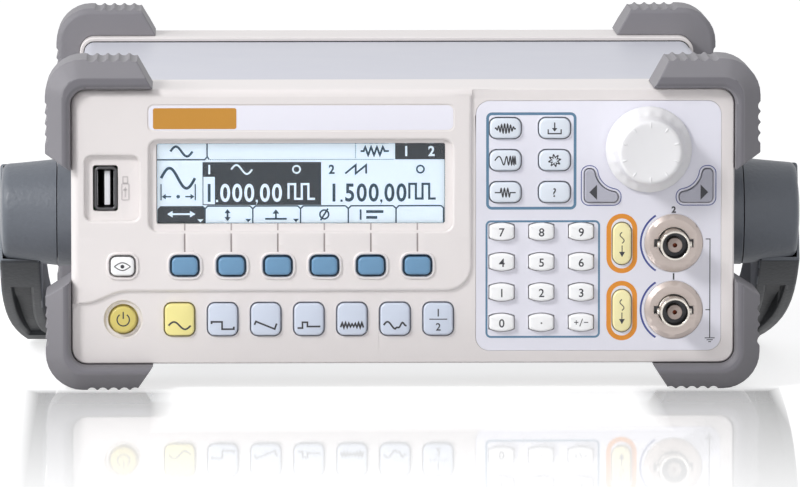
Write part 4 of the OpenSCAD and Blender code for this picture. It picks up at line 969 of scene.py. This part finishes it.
def reading(marks, text, x, z, height=6.0, squeeze=0.84, pitch=3.9):
    """Row of figures at an even pitch from x, with points and commas between them."""
    for figure in text:
        if figure in ".,":
            marks.fill(box_path(x + 0.15, z - height / 2, x + 0.85, z - height / 2 + 0.75))
            if figure == ",":
                base = z - height / 2
                marks.fill([(x + 0.5, base), (x + 0.85, base), (x + 0.2, base - 1.0)])
            x += 1.2
        else:
            marks.text(figure, height, (x + pitch / 2, z), squeeze, bold=0.02)
            x += pitch


def pulse_train(x, z, count=2, pitch=4.3, height=4.8):
    """Path of square pulses in place of a unit."""
    low, high = z - height / 2, z + height / 2
    path = [(x, low)]
    for a in (x + i * pitch for i in range(count)):
        path += [(a, high), (a + pitch / 2, high), (a + pitch / 2, low), (a + pitch, low)]
    return path


def display_picture():
    """Lit ground, dark fields, figures, lines and tabs of the display, in millimetres from its
    upper left corner."""
    w, h, tab, line = SCREEN_WIDTH, SCREEN_HEIGHT, 15.5, 0.46
    screen_layer("display_ground", Marks().fill(box_path(0, -h, w, 0)), "lcd_light", 0)
    dark = Marks().fill(box_path(14.7, -20.1, 53.2, -6.1)).fill(box_path(77.2, -5.3, w, 0))
    dark.fill([(0.1, -h), (0.1, -21.4), (1.0, -20.4), (14.6, -20.4), (tab, -21.4), (tab, -h)])
    screen_layer("display_fields", dark, "lcd_dark", 1)
    # Border lines and tabs
    lines = Marks().stroke([(16.2, 0), (16.2, -4.2), (16.9, -5.3)], line)
    lines.stroke([(0, -5.3), (15.4, -5.3), (16.2, -4.4)], line)
    dots(lines, (17.2, -5.3), (77.0, -5.3))
    dots(lines, (64.2, -0.2), (64.2, -5.0))
    for x in tab * np.arange(1, 6):
        lines.stroke([(x - 0.9, -20.4), (x, -21.3), (x, -h)], line)
        lines.stroke([(x, -21.3), (x + 0.9, -20.4), (x + 14.6, -20.4)], line)
    lines.stroke([(5 * tab + 14.6, -20.4), (w - 0.3, -21.1), (w - 0.3, -h)], line)
    for x in (2 * tab - 1.5, 3 * tab - 1.5):
        lines.head(x, -25.7, 1.1, 1.0, True)
    # Wave with its period marked below
    lines.stroke(sine(11.0, 6.6) + (6.75, -11.3), 0.9)
    lines.lines(0.42, *((x, -13.2, x, -18.5) for x in (1.25, 12.35)))
    for x, s in ((1.5, 1), (12.1, -1)):
        lines.head(x, -17.3, s * 1.3, 0.9).lines(0.46, (x + s * 1.2, -17.3, x + s * 3.0, -17.3))
    lines.fill(circle(0.6, 14)[0], (6.8, -17.3))
    lines.stroke(sine(7.2, 3.2) + (7.9, -2.6), 0.75)
    # Load sign, channel signs and tab signs
    zigzag = [(67.5 + 0.95 * i, -4.0 if i % 2 else -1.2) for i in range(7)]
    lines.stroke([(66.0, -2.6), (67.0, -2.6), *zigzag, (73.8, -2.6), (75.2, -2.6)], 0.62)
    lines.text("2", 3.1, (56.6, -8.5), 0.95, bold=0.03)
    lines.stroke([(61.0, -9.9), (64.4, -7.1), (64.4, -9.9), (67.8, -7.1), (67.8, -9.9)], 0.6)
    lines.band(circle(1.45, 24), 0.55, (85.4, -8.5)).band(circle(1.7, 24), 0.55, (54.2, -23.2))
    lines.lines(0.6, (22.8, -21.9, 22.8, -24.7), (35.0, -24.6, 42.0, -24.6), (38.5, -24.4, 38.5, -22.5),
                (66.0, -21.6, 66.0, -25.0))
    lines.lines(0.9, (67.8, -22.3, 73.4, -22.3), (67.8, -24.2, 71.4, -24.2))
    lines.lines(0.55, (53.0, -25.1, 55.4, -21.3))
    lines.head(22.8, -21.4, -1.3, 1.0, True).head(22.8, -25.3, 1.3, 1.0, True)
    lines.head(38.5, -21.5, -1.4, 1.1, True)
    reading(lines, "1.500,00", 55.4, -16.1)
    lines.stroke(pulse_train(81.8, -15.7), 0.72)
    screen_layer("display_lines", lines, "lcd_line", 2)
    # Pale figures and signs on the dark fields
    pale = Marks().fill(box_path(15.0, -19.8, 18.7, -10.9))
    reading(pale, ".000,00", 18.9, -16.1)
    pale.stroke(pulse_train(42.6, -15.7), 0.72)
    for figure, height, place in (("1", 3.1, (16.9, -8.5)), ("1", 3.4, (80.8, -2.6)),
                                  ("2", 3.4, (89.0, -2.6))):
        pale.text(figure, height, place, 0.95, bold=0.03)
    pale.stroke(sine(6.8, 2.9) + (27.4, -8.5), 0.6).band(circle(1.45, 24), 0.55, (45.2, -8.5))
    pale.lines(0.6, (4.6, -23.0, 11.0, -23.0)).head(3.2, -23.0, 1.8, 1.1).head(12.4, -23.0, -1.8, 1.1)
    pale.head(14.0, -25.7, 1.0, 1.0, True)
    screen_layer("display_figures", pale, "lcd_light", 2)
    cursor = Marks().text("1", 6.0, (16.85, -16.1), 0.84, bold=0.02)
    screen_layer("display_cursor_figure", cursor, "lcd_line", 3)


# ------------------------------------------------------------------ knob, jacks, ports
def knob_skin():
    """Knob: the profile radius over depth, turned about the axis, with a dished face. 20 shallow flats
    on the flare take push (1 - cos 20a) / 2 off its radius, where push is 0.26 sin(pi (0.85 t + 0.1))."""
    low, high = node_box("knob")
    centre = (low + high) / 2
    foot, depth = (high[0] - low[0]) / 2, high[1] - low[1] - 0.2
    face, neck, edge, dip = 10.5, 11.2, 1.4, 0.4
    t = np.linspace(0, 1, 10)
    flare = np.stack([neck + (foot - neck) * (1 - t) ** 2, 0.8 + depth * 0.34 * t], 1)
    a = np.radians(np.linspace(0, 90, 9))
    crown = np.stack([face - edge * (1 - np.cos(a)), depth - edge * (1 - np.sin(a))], 1)
    s = np.linspace(1, 0, 10)[1:]
    dish = np.stack([(face - edge) * s, depth - dip * (1 - s ** 2)], 1)
    start = np.array([[0, 0.05], [foot - 0.3, 0.05], [foot, 0.35]])
    profile = np.concatenate([start, flare, crown, dish])
    sides = 160
    around = np.arange(sides) * 2 * math.pi / sides
    push = np.zeros(len(profile))
    push[len(start):len(start) + len(t)] = 0.26 * np.sin(math.pi * (0.85 * t + 0.1))
    r = profile[:, 0:1] - push[:, None] * (1 - np.cos(20 * around)) / 2
    rings = np.stack([centre[0] + r * np.cos(around), high[1] - np.repeat(profile[:, 1:2], sides, 1),
                      centre[2] + r * np.sin(around)], -1)
    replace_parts(shells("knob_cap", [rings], "knob", "knob", 50), "knob")
    knob_ticks(low[1] + 0.24, centre)


def knob_ticks(depth, centre, count=10, from_axis=8.9, half_length=0.95, half_width=0.36, height=0.2376):
    """Raised ticks on the knob's face: ellipsoids by their half axes, with u along and v around them."""
    u = np.linspace(0, math.pi, 9)[:, None]
    v = np.linspace(0, 2 * math.pi, 17)[:-1][None]
    radius = from_axis + half_length * np.cos(u) + 0 * v
    across, out = half_width * np.sin(u) * np.cos(v), height * np.sin(u) * np.sin(v)
    ticks = [np.stack([centre[0] + radius * np.cos(turn) - across * np.sin(turn), depth + out,
                       centre[2] + radius * np.sin(turn) + across * np.cos(turn)], -1)
             for turn in np.radians((np.arange(count) + 0.5) * 360 / count)]
    shells("knob_ticks", ticks, "knob", "knob", 60)


def jack_finish(centres, normals, corners):
    """Nickel outside, dark metal as painted shade in the barrel and behind the wall, insulator on the inner
    sleeve and gold in its bore, by each face's farthest corner from the axis."""
    barrel, sleeve, bore = 4.5, 2.75, 0.95
    number = np.zeros(len(centres), int)
    for spots, rear in ((jack_places(), False), (rear_jack_places(), True)):
        here = (centres[:, 1] > 0) == rear
        for x, z in spots:
            reach = np.array([np.hypot(c[:, 0] - x, c[:, 2] - z).max() for c in corners])
            for material, radius in enumerate((barrel, sleeve, bore), 1):
                number[here & (reach < radius)] = material
    # Faces behind the wall without a finish yet take the dark metal as painted shade
    behind_wall = front_of("front_bezel") + 3.2
    number[(centres[:, 1] > behind_wall) & (centres[:, 1] < 0) & (number == 0)] = 1
    return number


def connectors():
    """Front and rear jacks with insulators and contacts, and the USB socket."""
    dressed("bnc_jacks", "bnc_jacks_plated", 0.14, "nickel", "case", 2, 40,
            extra=("dark_metal", "insulator", "brass"), choose=jack_finish)
    low, high = node_box("usb_host_port")
    middle = (low + high) / 2

    def tongue(centres, normals, corners):
        inside = (np.abs(centres[:, 0] - middle[0] - 0.5) < 1.3) & (np.abs(centres[:, 2] - middle[2]) < 5.9)
        return (inside & (centres[:, 1] < high[1] - 5)).astype(int)

    dressed("usb_host_port", "usb_socket", 0.12, "dark_metal", "case", 2, 40,
            extra=("pale_ink",), choose=tongue)
    floor = front_of("front_bezel") + 2.0
    rim = swept(*rounded(6.5, 13.3, 1.3), middle, bead(1.1, 0.6, floor + 0.05))
    shells("usb_rim", [rim], "dark_metal", "case", 60, closed_rows=True)
    # Raised stick sign in the sink beside the socket
    sign = Marks().band(rounded(2.7, 5.6, 0.5), 0.4, (0, -1.2)).band(rounded(1.9, 2.4, 0.3), 0.4, (0, 2.7))
    sign.lines(0.4, (0, -2.9, 0, -0.4)).head(0, 0.5, -1.2, 0.75, True)
    sign.build("usb_sign", "faint_ink", "case", flat_at(floor), (middle[0] + 6.3, middle[2]), 0.16, 0.05)


# ------------------------------------------------------------------ mouldings, case, rear
def bezel_weight(middles):
    """Rounding of the bezel's outward edges: full on the raised side's outline, a little less on the
    display's recess and the socket's sink, and small at shallow recesses and key holes. Each closed line
    of edges has one width, so that the rounded strips join without a step. Widths are in millimetres."""
    low, high = node_box("front_bezel")
    screen = middle_of("display_window")
    x, y, z = middles.T
    left, up = x - low[0], z - low[2]
    aside, above = np.abs(x - screen[0]), z - screen[2]
    past = left - PLATEAU_WIDTH
    front = y < low[1] + 0.05
    in_recess = (aside < 50.2) & (above > -RECESS_DOWN - 0.03) & (above < RECESS_UP)
    at_socket = (np.abs(left - SINK_LEFT) < SINK_HALF_WIDTH) & (np.abs(up - SINK_UP) < SINK_HALF_HEIGHT)
    at_grooves = (up > 27.8) & (above < -RECESS_DOWN - 0.03) & (aside < 46)
    corner = (past > -CORNER_IN - 0.1) & (up < CORNER_UP + 0.1)
    corner &= np.hypot(past + CORNER_IN, up - CORNER_UP) > CORNER_RADIUS
    outline = (up < PLATEAU_UP + 1.4) | (past > -0.7) | corner
    ends = (left < EDGE_END - 0.01) & (up > 18.5) & (up < 20.5)
    ends |= (z > high[2] - EDGE_END + 0.01) & (np.abs(past) < 0.2)
    full = mm("step_round")
    width = np.full(len(x), 0.2)
    for zone, value in ((True, 0.16), (in_recess, 0.8), (at_socket, 0.9), (above > RECESS_UP, 0.1),
                        (at_grooves, 0.0), (outline, full)):
        width[front & zone] = value
    width[ends | (y > low[1] + 3.0)] = 0.0
    return width / full


def bumper_weight(middles):
    """Rounding of the bumpers' outward edges: a broad one along the body at the front and at the rear,
    a small one at the grip grooves. The distance to the body is that of a rounded rectangle."""
    low, high = node_box("corner_bumpers")
    body_low, body_high = node_box("front_bezel")
    x, y, z = middles.T
    half = (body_high - body_low) / 2 - BODY_CORNER
    qx = np.abs(x) - half[0]
    qz = np.abs(z - (body_low[2] + body_high[2]) / 2) - half[2]
    away = np.hypot(np.maximum(qx, 0), np.maximum(qz, 0)) + np.minimum(np.maximum(qx, qz), 0) - BODY_CORNER
    broad, groove_depth = mm("bumper_round"), 1.3
    ends = (y < low[1] + 0.2) | (y > high[1] - 0.2)
    beside = np.abs(away) < 0.5
    grooves = (np.abs(x) > high[0] - groove_depth) | (z > high[2] - groove_depth)
    grooves |= z < low[2] + groove_depth
    width = np.where(beside, np.where(ends, broad, 0.2), 0.5)
    return np.where(grooves, 0.16, width) / broad


def key_lines():
    """Places in X and in Z of the middles of all keys, jacks, the socket and the display, and of the ends
    of the rounded edges. The display keys' places in X are off their middle, beside the grooves above
    them, and places in Z keep off the recess's lower edge and the raised side's lower edge."""
    moving = [j["child"] for j in frame["joints"] if j["child"].endswith("_key") or "_key_" in j["child"]]
    nodes = [*moving, "display_window", "usb_host_port", "rotary_encoder"]
    middles = [middle_of(n) + np.array([2.6 * n.startswith("soft"), 0, 0]) for n in nodes]
    middles += [np.array([x, 0, z]) for x, z in jack_places()]
    low, high = node_box("front_bezel")
    across = [m[0] for m in middles] + [low[0] + EDGE_END, low[0] + PLATEAU_WIDTH - CORNER_IN]
    heights = [m[2] for m in middles] + [strip_height(), high[2] - EDGE_END]
    for edge, away in ((middle_of("display_window")[2] - RECESS_DOWN, -1.8), (low[2] + PLATEAU_UP, 1.8)):
        heights = [edge + away if abs(z - edge) < 1.2 else z for z in heights]
    return [sorted({round(float(v), 2) for v in places}) for places in (across, heights)]


def mouldings():
    """Front bezel, rear frame, control overlay and the fixed collars of the handle."""
    front = front_of("front_bezel")

    def bosses(centres, normals, corners):
        near = [np.hypot(centres[:, 0] - x, centres[:, 2] - z) < BOSS_RADIUS for x, z in jack_places()]
        return (near[0] | near[1]) & (centres[:, 1] < front + 1.3)

    dressed("front_bezel", "front_bezel_moulding", mm("step_round"), "bezel", "case", 3,
            weight=bezel_weight, extra=("boss",), choose=bosses, cuts=key_lines())
    dressed("rear_frame", "rear_frame_moulding", 0.4, "bezel", "case", 2)
    dressed("control_overlay", "control_overlay_film", 0.0, "overlay", "case", 1)
    dressed("handle_pivots", "handle_collars", 0.15, "handle", "case", 2, 40)


def case_parts():
    """Painted cover, tray, screws and the parts behind the front."""
    dressed("case_cover", "case_cover_painted", 0.3, "cover", "case", 2)
    dressed("chassis", "chassis_tray", 0.0, "steel", "case", 1, extra=("rear_paint",),
            choose=lambda centres, normals, corners: normals[:, 1] > 0.7)
    for node, material in (("display_window", "lens"), ("lcd_module", "dark"), ("front_board", "board"),
                           ("key_mat", "mat"), ("rotary_encoder", "steel"), ("power_supply", "supply")):
        carried(node, material)
    board_low, board_high = node_box("main_board")

    def fitted(centres, normals, corners):
        above = centres[:, 2] > board_low[2] + 1.65
        return above * np.where(centres[:, 1] > board_high[1] - 18, 2, 1)

    # The device socket is the board's rearmost part; planes through its middle part its open face
    points = np.array([v.co[:] for v in frame["nodes"]["main_board"].data.vertices]) / MM
    socket = points[points[:, 1] > board_high[1] - 0.5]
    middle = (socket.min(0) + socket.max(0)) / 2
    dressed("main_board", "main_board_fitted", 0.0, "board", "case", 1, extra=("dark", "steel"),
            choose=fitted, cuts=((middle[0],), (middle[2],)))
    dressed("screws", "screws_turned", 0.1, "steel", "case", 1, 40)


def rear_parts():
    """Fan, mains inlet and rocker, by their rounding and its segments."""
    for node, body, width, segments in (
            ("fan_frame", "case", 0.25, 2), ("fan_rotor", "fan_rotor", 0.12, 1),
            ("mains_inlet", "case", 0.3, 2), ("power_rocker", "power_rocker", 0.4, 2)):
        dressed(node, node + "_moulding", width, "dark", body, segments, 40)


def bumpers():
    """Corner bumpers of grey rubber, with painted shade on the flat band around the front."""
    front = front_of("corner_bumpers")

    # The flat front band, which takes the painted shade
    def band(centres, normals, corners):
        return (normals[:, 1] < -0.95) & (centres[:, 1] < front + 0.3)

    dressed("corner_bumpers", "corner_bumpers_rubber", mm("bumper_round"), "bumper", "case",
            3, 24, weight=bumper_weight, extra=("bumper_band_shade",), choose=band)


def handle():
    """Carrying handle with rounded edges: its hubs, and its arms and its bar in a darker copy of the handle's
    colour as painted shade. The hubs' edges beside the fixed collars are rounded less, so that the seam stays
    narrow."""
    low, high = node_box("handle_pivots")
    middle, radius = (low + high) / 2, (high[2] - low[2]) / 2
    seam = node_box("front_bezel")[1][0] + HUB_FROM_SIDE

    # Faces of the arms and the bar, which take the painted shade
    def arms(centres, normals, corners):
        return np.hypot(centres[:, 1] - middle[1], centres[:, 2] - middle[2]) > radius + 0.3

    def close_at_collars(middles):
        return np.where(np.abs(np.abs(middles[:, 0]) - seam) < 0.1, 0.12, 1.0)

    dressed("handle", "handle_moulding", mm("handle_round"), "handle", "handle", 3, 34,
            weight=close_at_collars, extra=("handle_arm_shade",), choose=arms, flat=0.5)


def swept(outline, normals, centre, section):
    """Rings of a section swept along an outline: outline + out normal + centre. A section's point is how
    far it lies out along the normals, and its depth."""
    out, depth = section.T
    flat = outline + out[:, None, None] * normals
    away = np.repeat(depth[:, None], len(outline), 1)
    return np.stack([flat[..., 0] + centre[0], away, flat[..., 1] + centre[2]], -1)


def bead(width, height, depth, out=0.0):
    """Section of a bead on a plane: out + (width / 2) cos t, at depth - height sin t, for t from 0 to
    180 degrees."""
    t = np.linspace(0, math.pi, 7)
    return np.stack([out + width / 2 * np.cos(t), depth - height * np.sin(t)], 1)


def collars():
    """Rounded beads around the display keys and the view key, 0.8 out from their outlines."""
    section = bead(1.0, 0.7, front_of("front_bezel") + 0.08, 0.8)
    beads = [swept(*key_outline("soft", *key_size(node)), middle_of(node), section)
             for node in (*SOFT_KEYS, "view_key")]
    shells("key_collars", beads, "bezel", "case", 60, closed_rows=True)


def cover_seals():
    """Painted shadow in the seams at both ends of the cover: a dark rounded rectangle band 0.6 wide, just
    proud of it.
    """
    low, high = node_box("case_cover")
    outline = rounded(high[0] - low[0], high[2] - low[2], 3.4)
    for name, y in (("front_shadow_strip", low[1] + 0.02), ("rear_shadow_strip", high[1] - 0.62)):
        section = np.array([(0.35, y), (0.35, y + 0.6), (-0.6, y + 0.6), (-0.6, y)])
        shells(name, [swept(*outline, (low + high) / 2, section)], "dark", "case", 40,
               closed_rows=True)


# ------------------------------------------------------------------ stage
def placed(name, data, place, aim):
    """Links a lamp or a camera that looks from a place at a point."""
    holder = bpy.data.objects.new(name, data)
    holder.location = place
    holder.rotation_euler = (Vector(aim) - Vector(place)).to_track_quat("-Z", "Y").to_euler()
    bpy.context.scene.collection.objects.link(holder)
    return holder


def lamp(name, place, aim, side, watts):
    """Square soft lamp that looks at a point."""
    data = bpy.data.lights.new(name, "AREA")
    data.shape, data.size, data.energy = "SQUARE", side, watts
    placed(name, data, place, aim)


def camera():
    """Camera before the bumpers' front, a little to the left and above."""
    data = bpy.data.cameras.new("Camera")
    data.lens, data.sensor_width = LENS, 36.0
    data.clip_start, data.clip_end = 0.05, 60
    front = front_of("corner_bumpers") * MM
    eye = (EYE_ACROSS, front - sizes().camera_distance, EYE_UP)
    bpy.context.scene.camera = placed("Camera", data, eye, (AIM_ACROSS, front, AIM_UP))


def room():
    """Dim pale world, which is plain white to the camera and in a gloss."""
    world = bpy.data.worlds.new("Studio")
    world.use_nodes = True
    world.node_tree.nodes.clear()
    tree = Tree(world.node_tree)
    dim = tree.add("ShaderNodeBackground", {"Color": (0.97, 0.98, 1.0, 1.0), "Strength": 0.56})
    white = tree.add("ShaderNodeBackground", {"Color": grey(1.0), "Strength": 1.0})
    both = tree.add("ShaderNodeMixShader", {0: tree.seen(), 1: dim.outputs[0], 2: white.outputs[0]})
    tree.add("ShaderNodeOutputWorld", {"Surface": both.outputs[0]})
    bpy.context.scene.world = world


def make_stage():
    """Pale floor, world, soft lamps and camera."""
    mesh = bpy.data.meshes.new("floor")
    half = sizes().floor_size / 2
    mesh.from_pydata([(-half, -half, 0), (half, -half, 0), (half, half, 0), (-half, half, 0)], [],
                     [(0, 1, 2, 3)])
    floor = bpy.data.objects.new("floor", mesh)
    bpy.context.scene.collection.objects.link(floor)
    mesh.materials.append(floor_material())
    room()
    for name, place, aim, side, watts in (
            ("Lamp left", (-0.8, -0.86, 0.8), (0, -0.13, 0.05), 0.28, 8.9),
            ("Lamp side", (-1.5, -0.2, 0.7), (-0.1, 0, 0.06), 0.5, 6.5),
            ("Lamp front", (0.4, -2.6, 0.8), (0, -0.1, 0.05), 1.6, 4.3),
            ("Lamp above", (0.1, 0.6, 2.0), (0, 0, 0.05), 1.4, 0.9)):
        lamp(name, place, aim, side, watts)
    camera()
    bpy.context.scene.view_settings.view_transform = "Standard"


def floor_material():
    """White floor: a mirror-like gloss in front of the object that fades with the distance, ends beside
    the bumpers and is weak between the feet. Spans are in metres of depth or across."""
    made = bpy.data.materials.new("Floor")
    made.use_nodes = True
    made.node_tree.nodes.clear()
    tree = Tree(made.node_tree)
    place = tree.add("ShaderNodeTexCoord").outputs["Object"]
    axes = tree.axes(place)
    depth, across = axes["Y"], tree.math("ABSOLUTE", axes["X"])
    near = tree.span(depth, -0.56, -0.14, 0.0, 0.66)
    front_end = tree.span(depth, -0.14, -0.125, 1.0, 0.0)
    side_end = tree.span(across, 0.118, 0.124, 1.0, 0.0)
    ends = tree.math("MINIMUM", front_end, side_end)
    at_feet = tree.span(across, 0.074, 0.082, 0.3, 1.0)
    before_feet = tree.span(depth, -0.25, -0.22, 1.0, 0.3)
    under = tree.math("MAXIMUM", at_feet, before_feet)
    fade = tree.math("MULTIPLY", near, tree.math("MULTIPLY", ends, under))
    seen = tree.seen()
    speckled = tree.blend(tree.noise(place, 300.0, 3.0), grey(0.49), grey(0.52))
    matt = tree.add("ShaderNodeBsdfDiffuse", {"Color": tree.blend(seen, grey(0.5), speckled)})
    strength = tree.math("MULTIPLY", seen, 0.72)
    lift = tree.add("ShaderNodeEmission", {"Color": grey(1.0), "Strength": strength})
    matt = tree.add("ShaderNodeAddShader", {0: matt.outputs[0], 1: lift.outputs[0]})
    gloss = tree.add("ShaderNodeBsdfGlossy", {"Color": grey(0.95), "Roughness": 0.03})
    plain = tree.add("ShaderNodeMixShader", {0: fade, 1: matt.outputs[0], 2: gloss.outputs[0]})
    tree.add("ShaderNodeOutputMaterial", {"Surface": plain.outputs[0]})
    return made


# ------------------------------------------------------------------ operators
class GENERATOR_OT_mouldings(bpy.types.Operator):
    """Dress the front bezel, rear frame, overlay and collars"""
    bl_idname = "generator.mouldings"
    bl_label = "Mouldings"

    def execute(self, context):
        mouldings()
        collars()
        return {"FINISHED"}


class GENERATOR_OT_bumpers(bpy.types.Operator):
    """Dress the corner bumpers"""
    bl_idname = "generator.bumpers"
    bl_label = "Corner bumpers"

    def execute(self, context):
        bumpers()
        return {"FINISHED"}


class GENERATOR_OT_handle(bpy.types.Operator):
    """Dress the carrying handle"""
    bl_idname = "generator.handle"
    bl_label = "Handle"

    def execute(self, context):
        handle()
        return {"FINISHED"}


class GENERATOR_OT_case(bpy.types.Operator):
    """Dress the cover, the tray, the screws and the inner parts, and add the painted shadow strips at the
    cover's ends
    """
    bl_idname = "generator.case"
    bl_label = "Case"

    def execute(self, context):
        case_parts()
        cover_seals()
        return {"FINISHED"}


class GENERATOR_OT_rear(bpy.types.Operator):
    """Dress the fan, the mains inlet and the rocker"""
    bl_idname = "generator.rear"
    bl_label = "Rear panel"

    def execute(self, context):
        rear_parts()
        return {"FINISHED"}


class GENERATOR_OT_keys(bpy.types.Operator):
    """Make the keys and the signs on them"""
    bl_idname = "generator.keys"
    bl_label = "Keys"

    def execute(self, context):
        make_key_caps()
        wave_marks()
        mode_marks()
        small_marks()
        return {"FINISHED"}


class GENERATOR_OT_print(bpy.types.Operator):
    """Make the printed frames, arcs, fields and the name strip"""
    bl_idname = "generator.print"
    bl_label = "Panel print"

    def execute(self, context):
        panel_print()
        name_strip()
        guide_lines()
        return {"FINISHED"}


class GENERATOR_OT_display(bpy.types.Operator):
    """Make the display's picture"""
    bl_idname = "generator.display"
    bl_label = "Display"

    def execute(self, context):
        display_picture()
        return {"FINISHED"}


class GENERATOR_OT_knob(bpy.types.Operator):
    """Make the knob"""
    bl_idname = "generator.knob"
    bl_label = "Knob"

    def execute(self, context):
        knob_skin()
        return {"FINISHED"}


class GENERATOR_OT_connectors(bpy.types.Operator):
    """Dress the jacks and the USB socket"""
    bl_idname = "generator.connectors"
    bl_label = "Connectors"

    def execute(self, context):
        connectors()
        return {"FINISHED"}


class GENERATOR_OT_stage(bpy.types.Operator):
    """Make the floor, the lamps, the world and the camera"""
    bl_idname = "generator.stage"
    bl_label = "Stage"

    def execute(self, context):
        make_stage()
        return {"FINISHED"}


STEPS = (GENERATOR_OT_mouldings, GENERATOR_OT_bumpers, GENERATOR_OT_handle, GENERATOR_OT_case,
         GENERATOR_OT_rear, GENERATOR_OT_keys, GENERATOR_OT_print, GENERATOR_OT_display,
         GENERATOR_OT_knob, GENERATOR_OT_connectors, GENERATOR_OT_stage)


class GENERATOR_PT_panel(bpy.types.Panel):
    """Lists the steps, sizes and colours of the generator"""
    bl_label = "Function generator"
    bl_idname = "GENERATOR_PT_panel"
    bl_space_type = "VIEW_3D"
    bl_region_type = "UI"
    bl_category = "Generator"

    def draw(self, context):
        for step in STEPS:
            self.layout.operator(step.bl_idname)
        for group in (context.scene.generator_sizes, context.scene.generator_colours):
            for name in group.__annotations__:
                self.layout.prop(group, name)


CLASSES = (GeneratorColours, GeneratorSizes, *STEPS, GENERATOR_PT_panel)


def register():
    """Registers the classes and hangs the properties on the scene."""
    for each in CLASSES:
        bpy.utils.register_class(each)
    bpy.types.Scene.generator_colours = bpy.props.PointerProperty(type=GeneratorColours)
    bpy.types.Scene.generator_sizes = bpy.props.PointerProperty(type=GeneratorSizes)


def unregister():
    """Takes the properties and the classes away."""
    del bpy.types.Scene.generator_sizes
    del bpy.types.Scene.generator_colours
    for each in reversed(CLASSES):
        bpy.utils.unregister_class(each)


def main():
    """Runs every step."""
    register()
    bpy.ops.generator.mouldings()
    bpy.ops.generator.bumpers()
    bpy.ops.generator.handle()
    bpy.ops.generator.case()
    bpy.ops.generator.rear()
    bpy.ops.generator.keys()
    bpy.ops.generator.print()
    bpy.ops.generator.display()
    bpy.ops.generator.knob()
    bpy.ops.generator.connectors()
    bpy.ops.generator.stage()


if __name__ == "__main__":
    main()
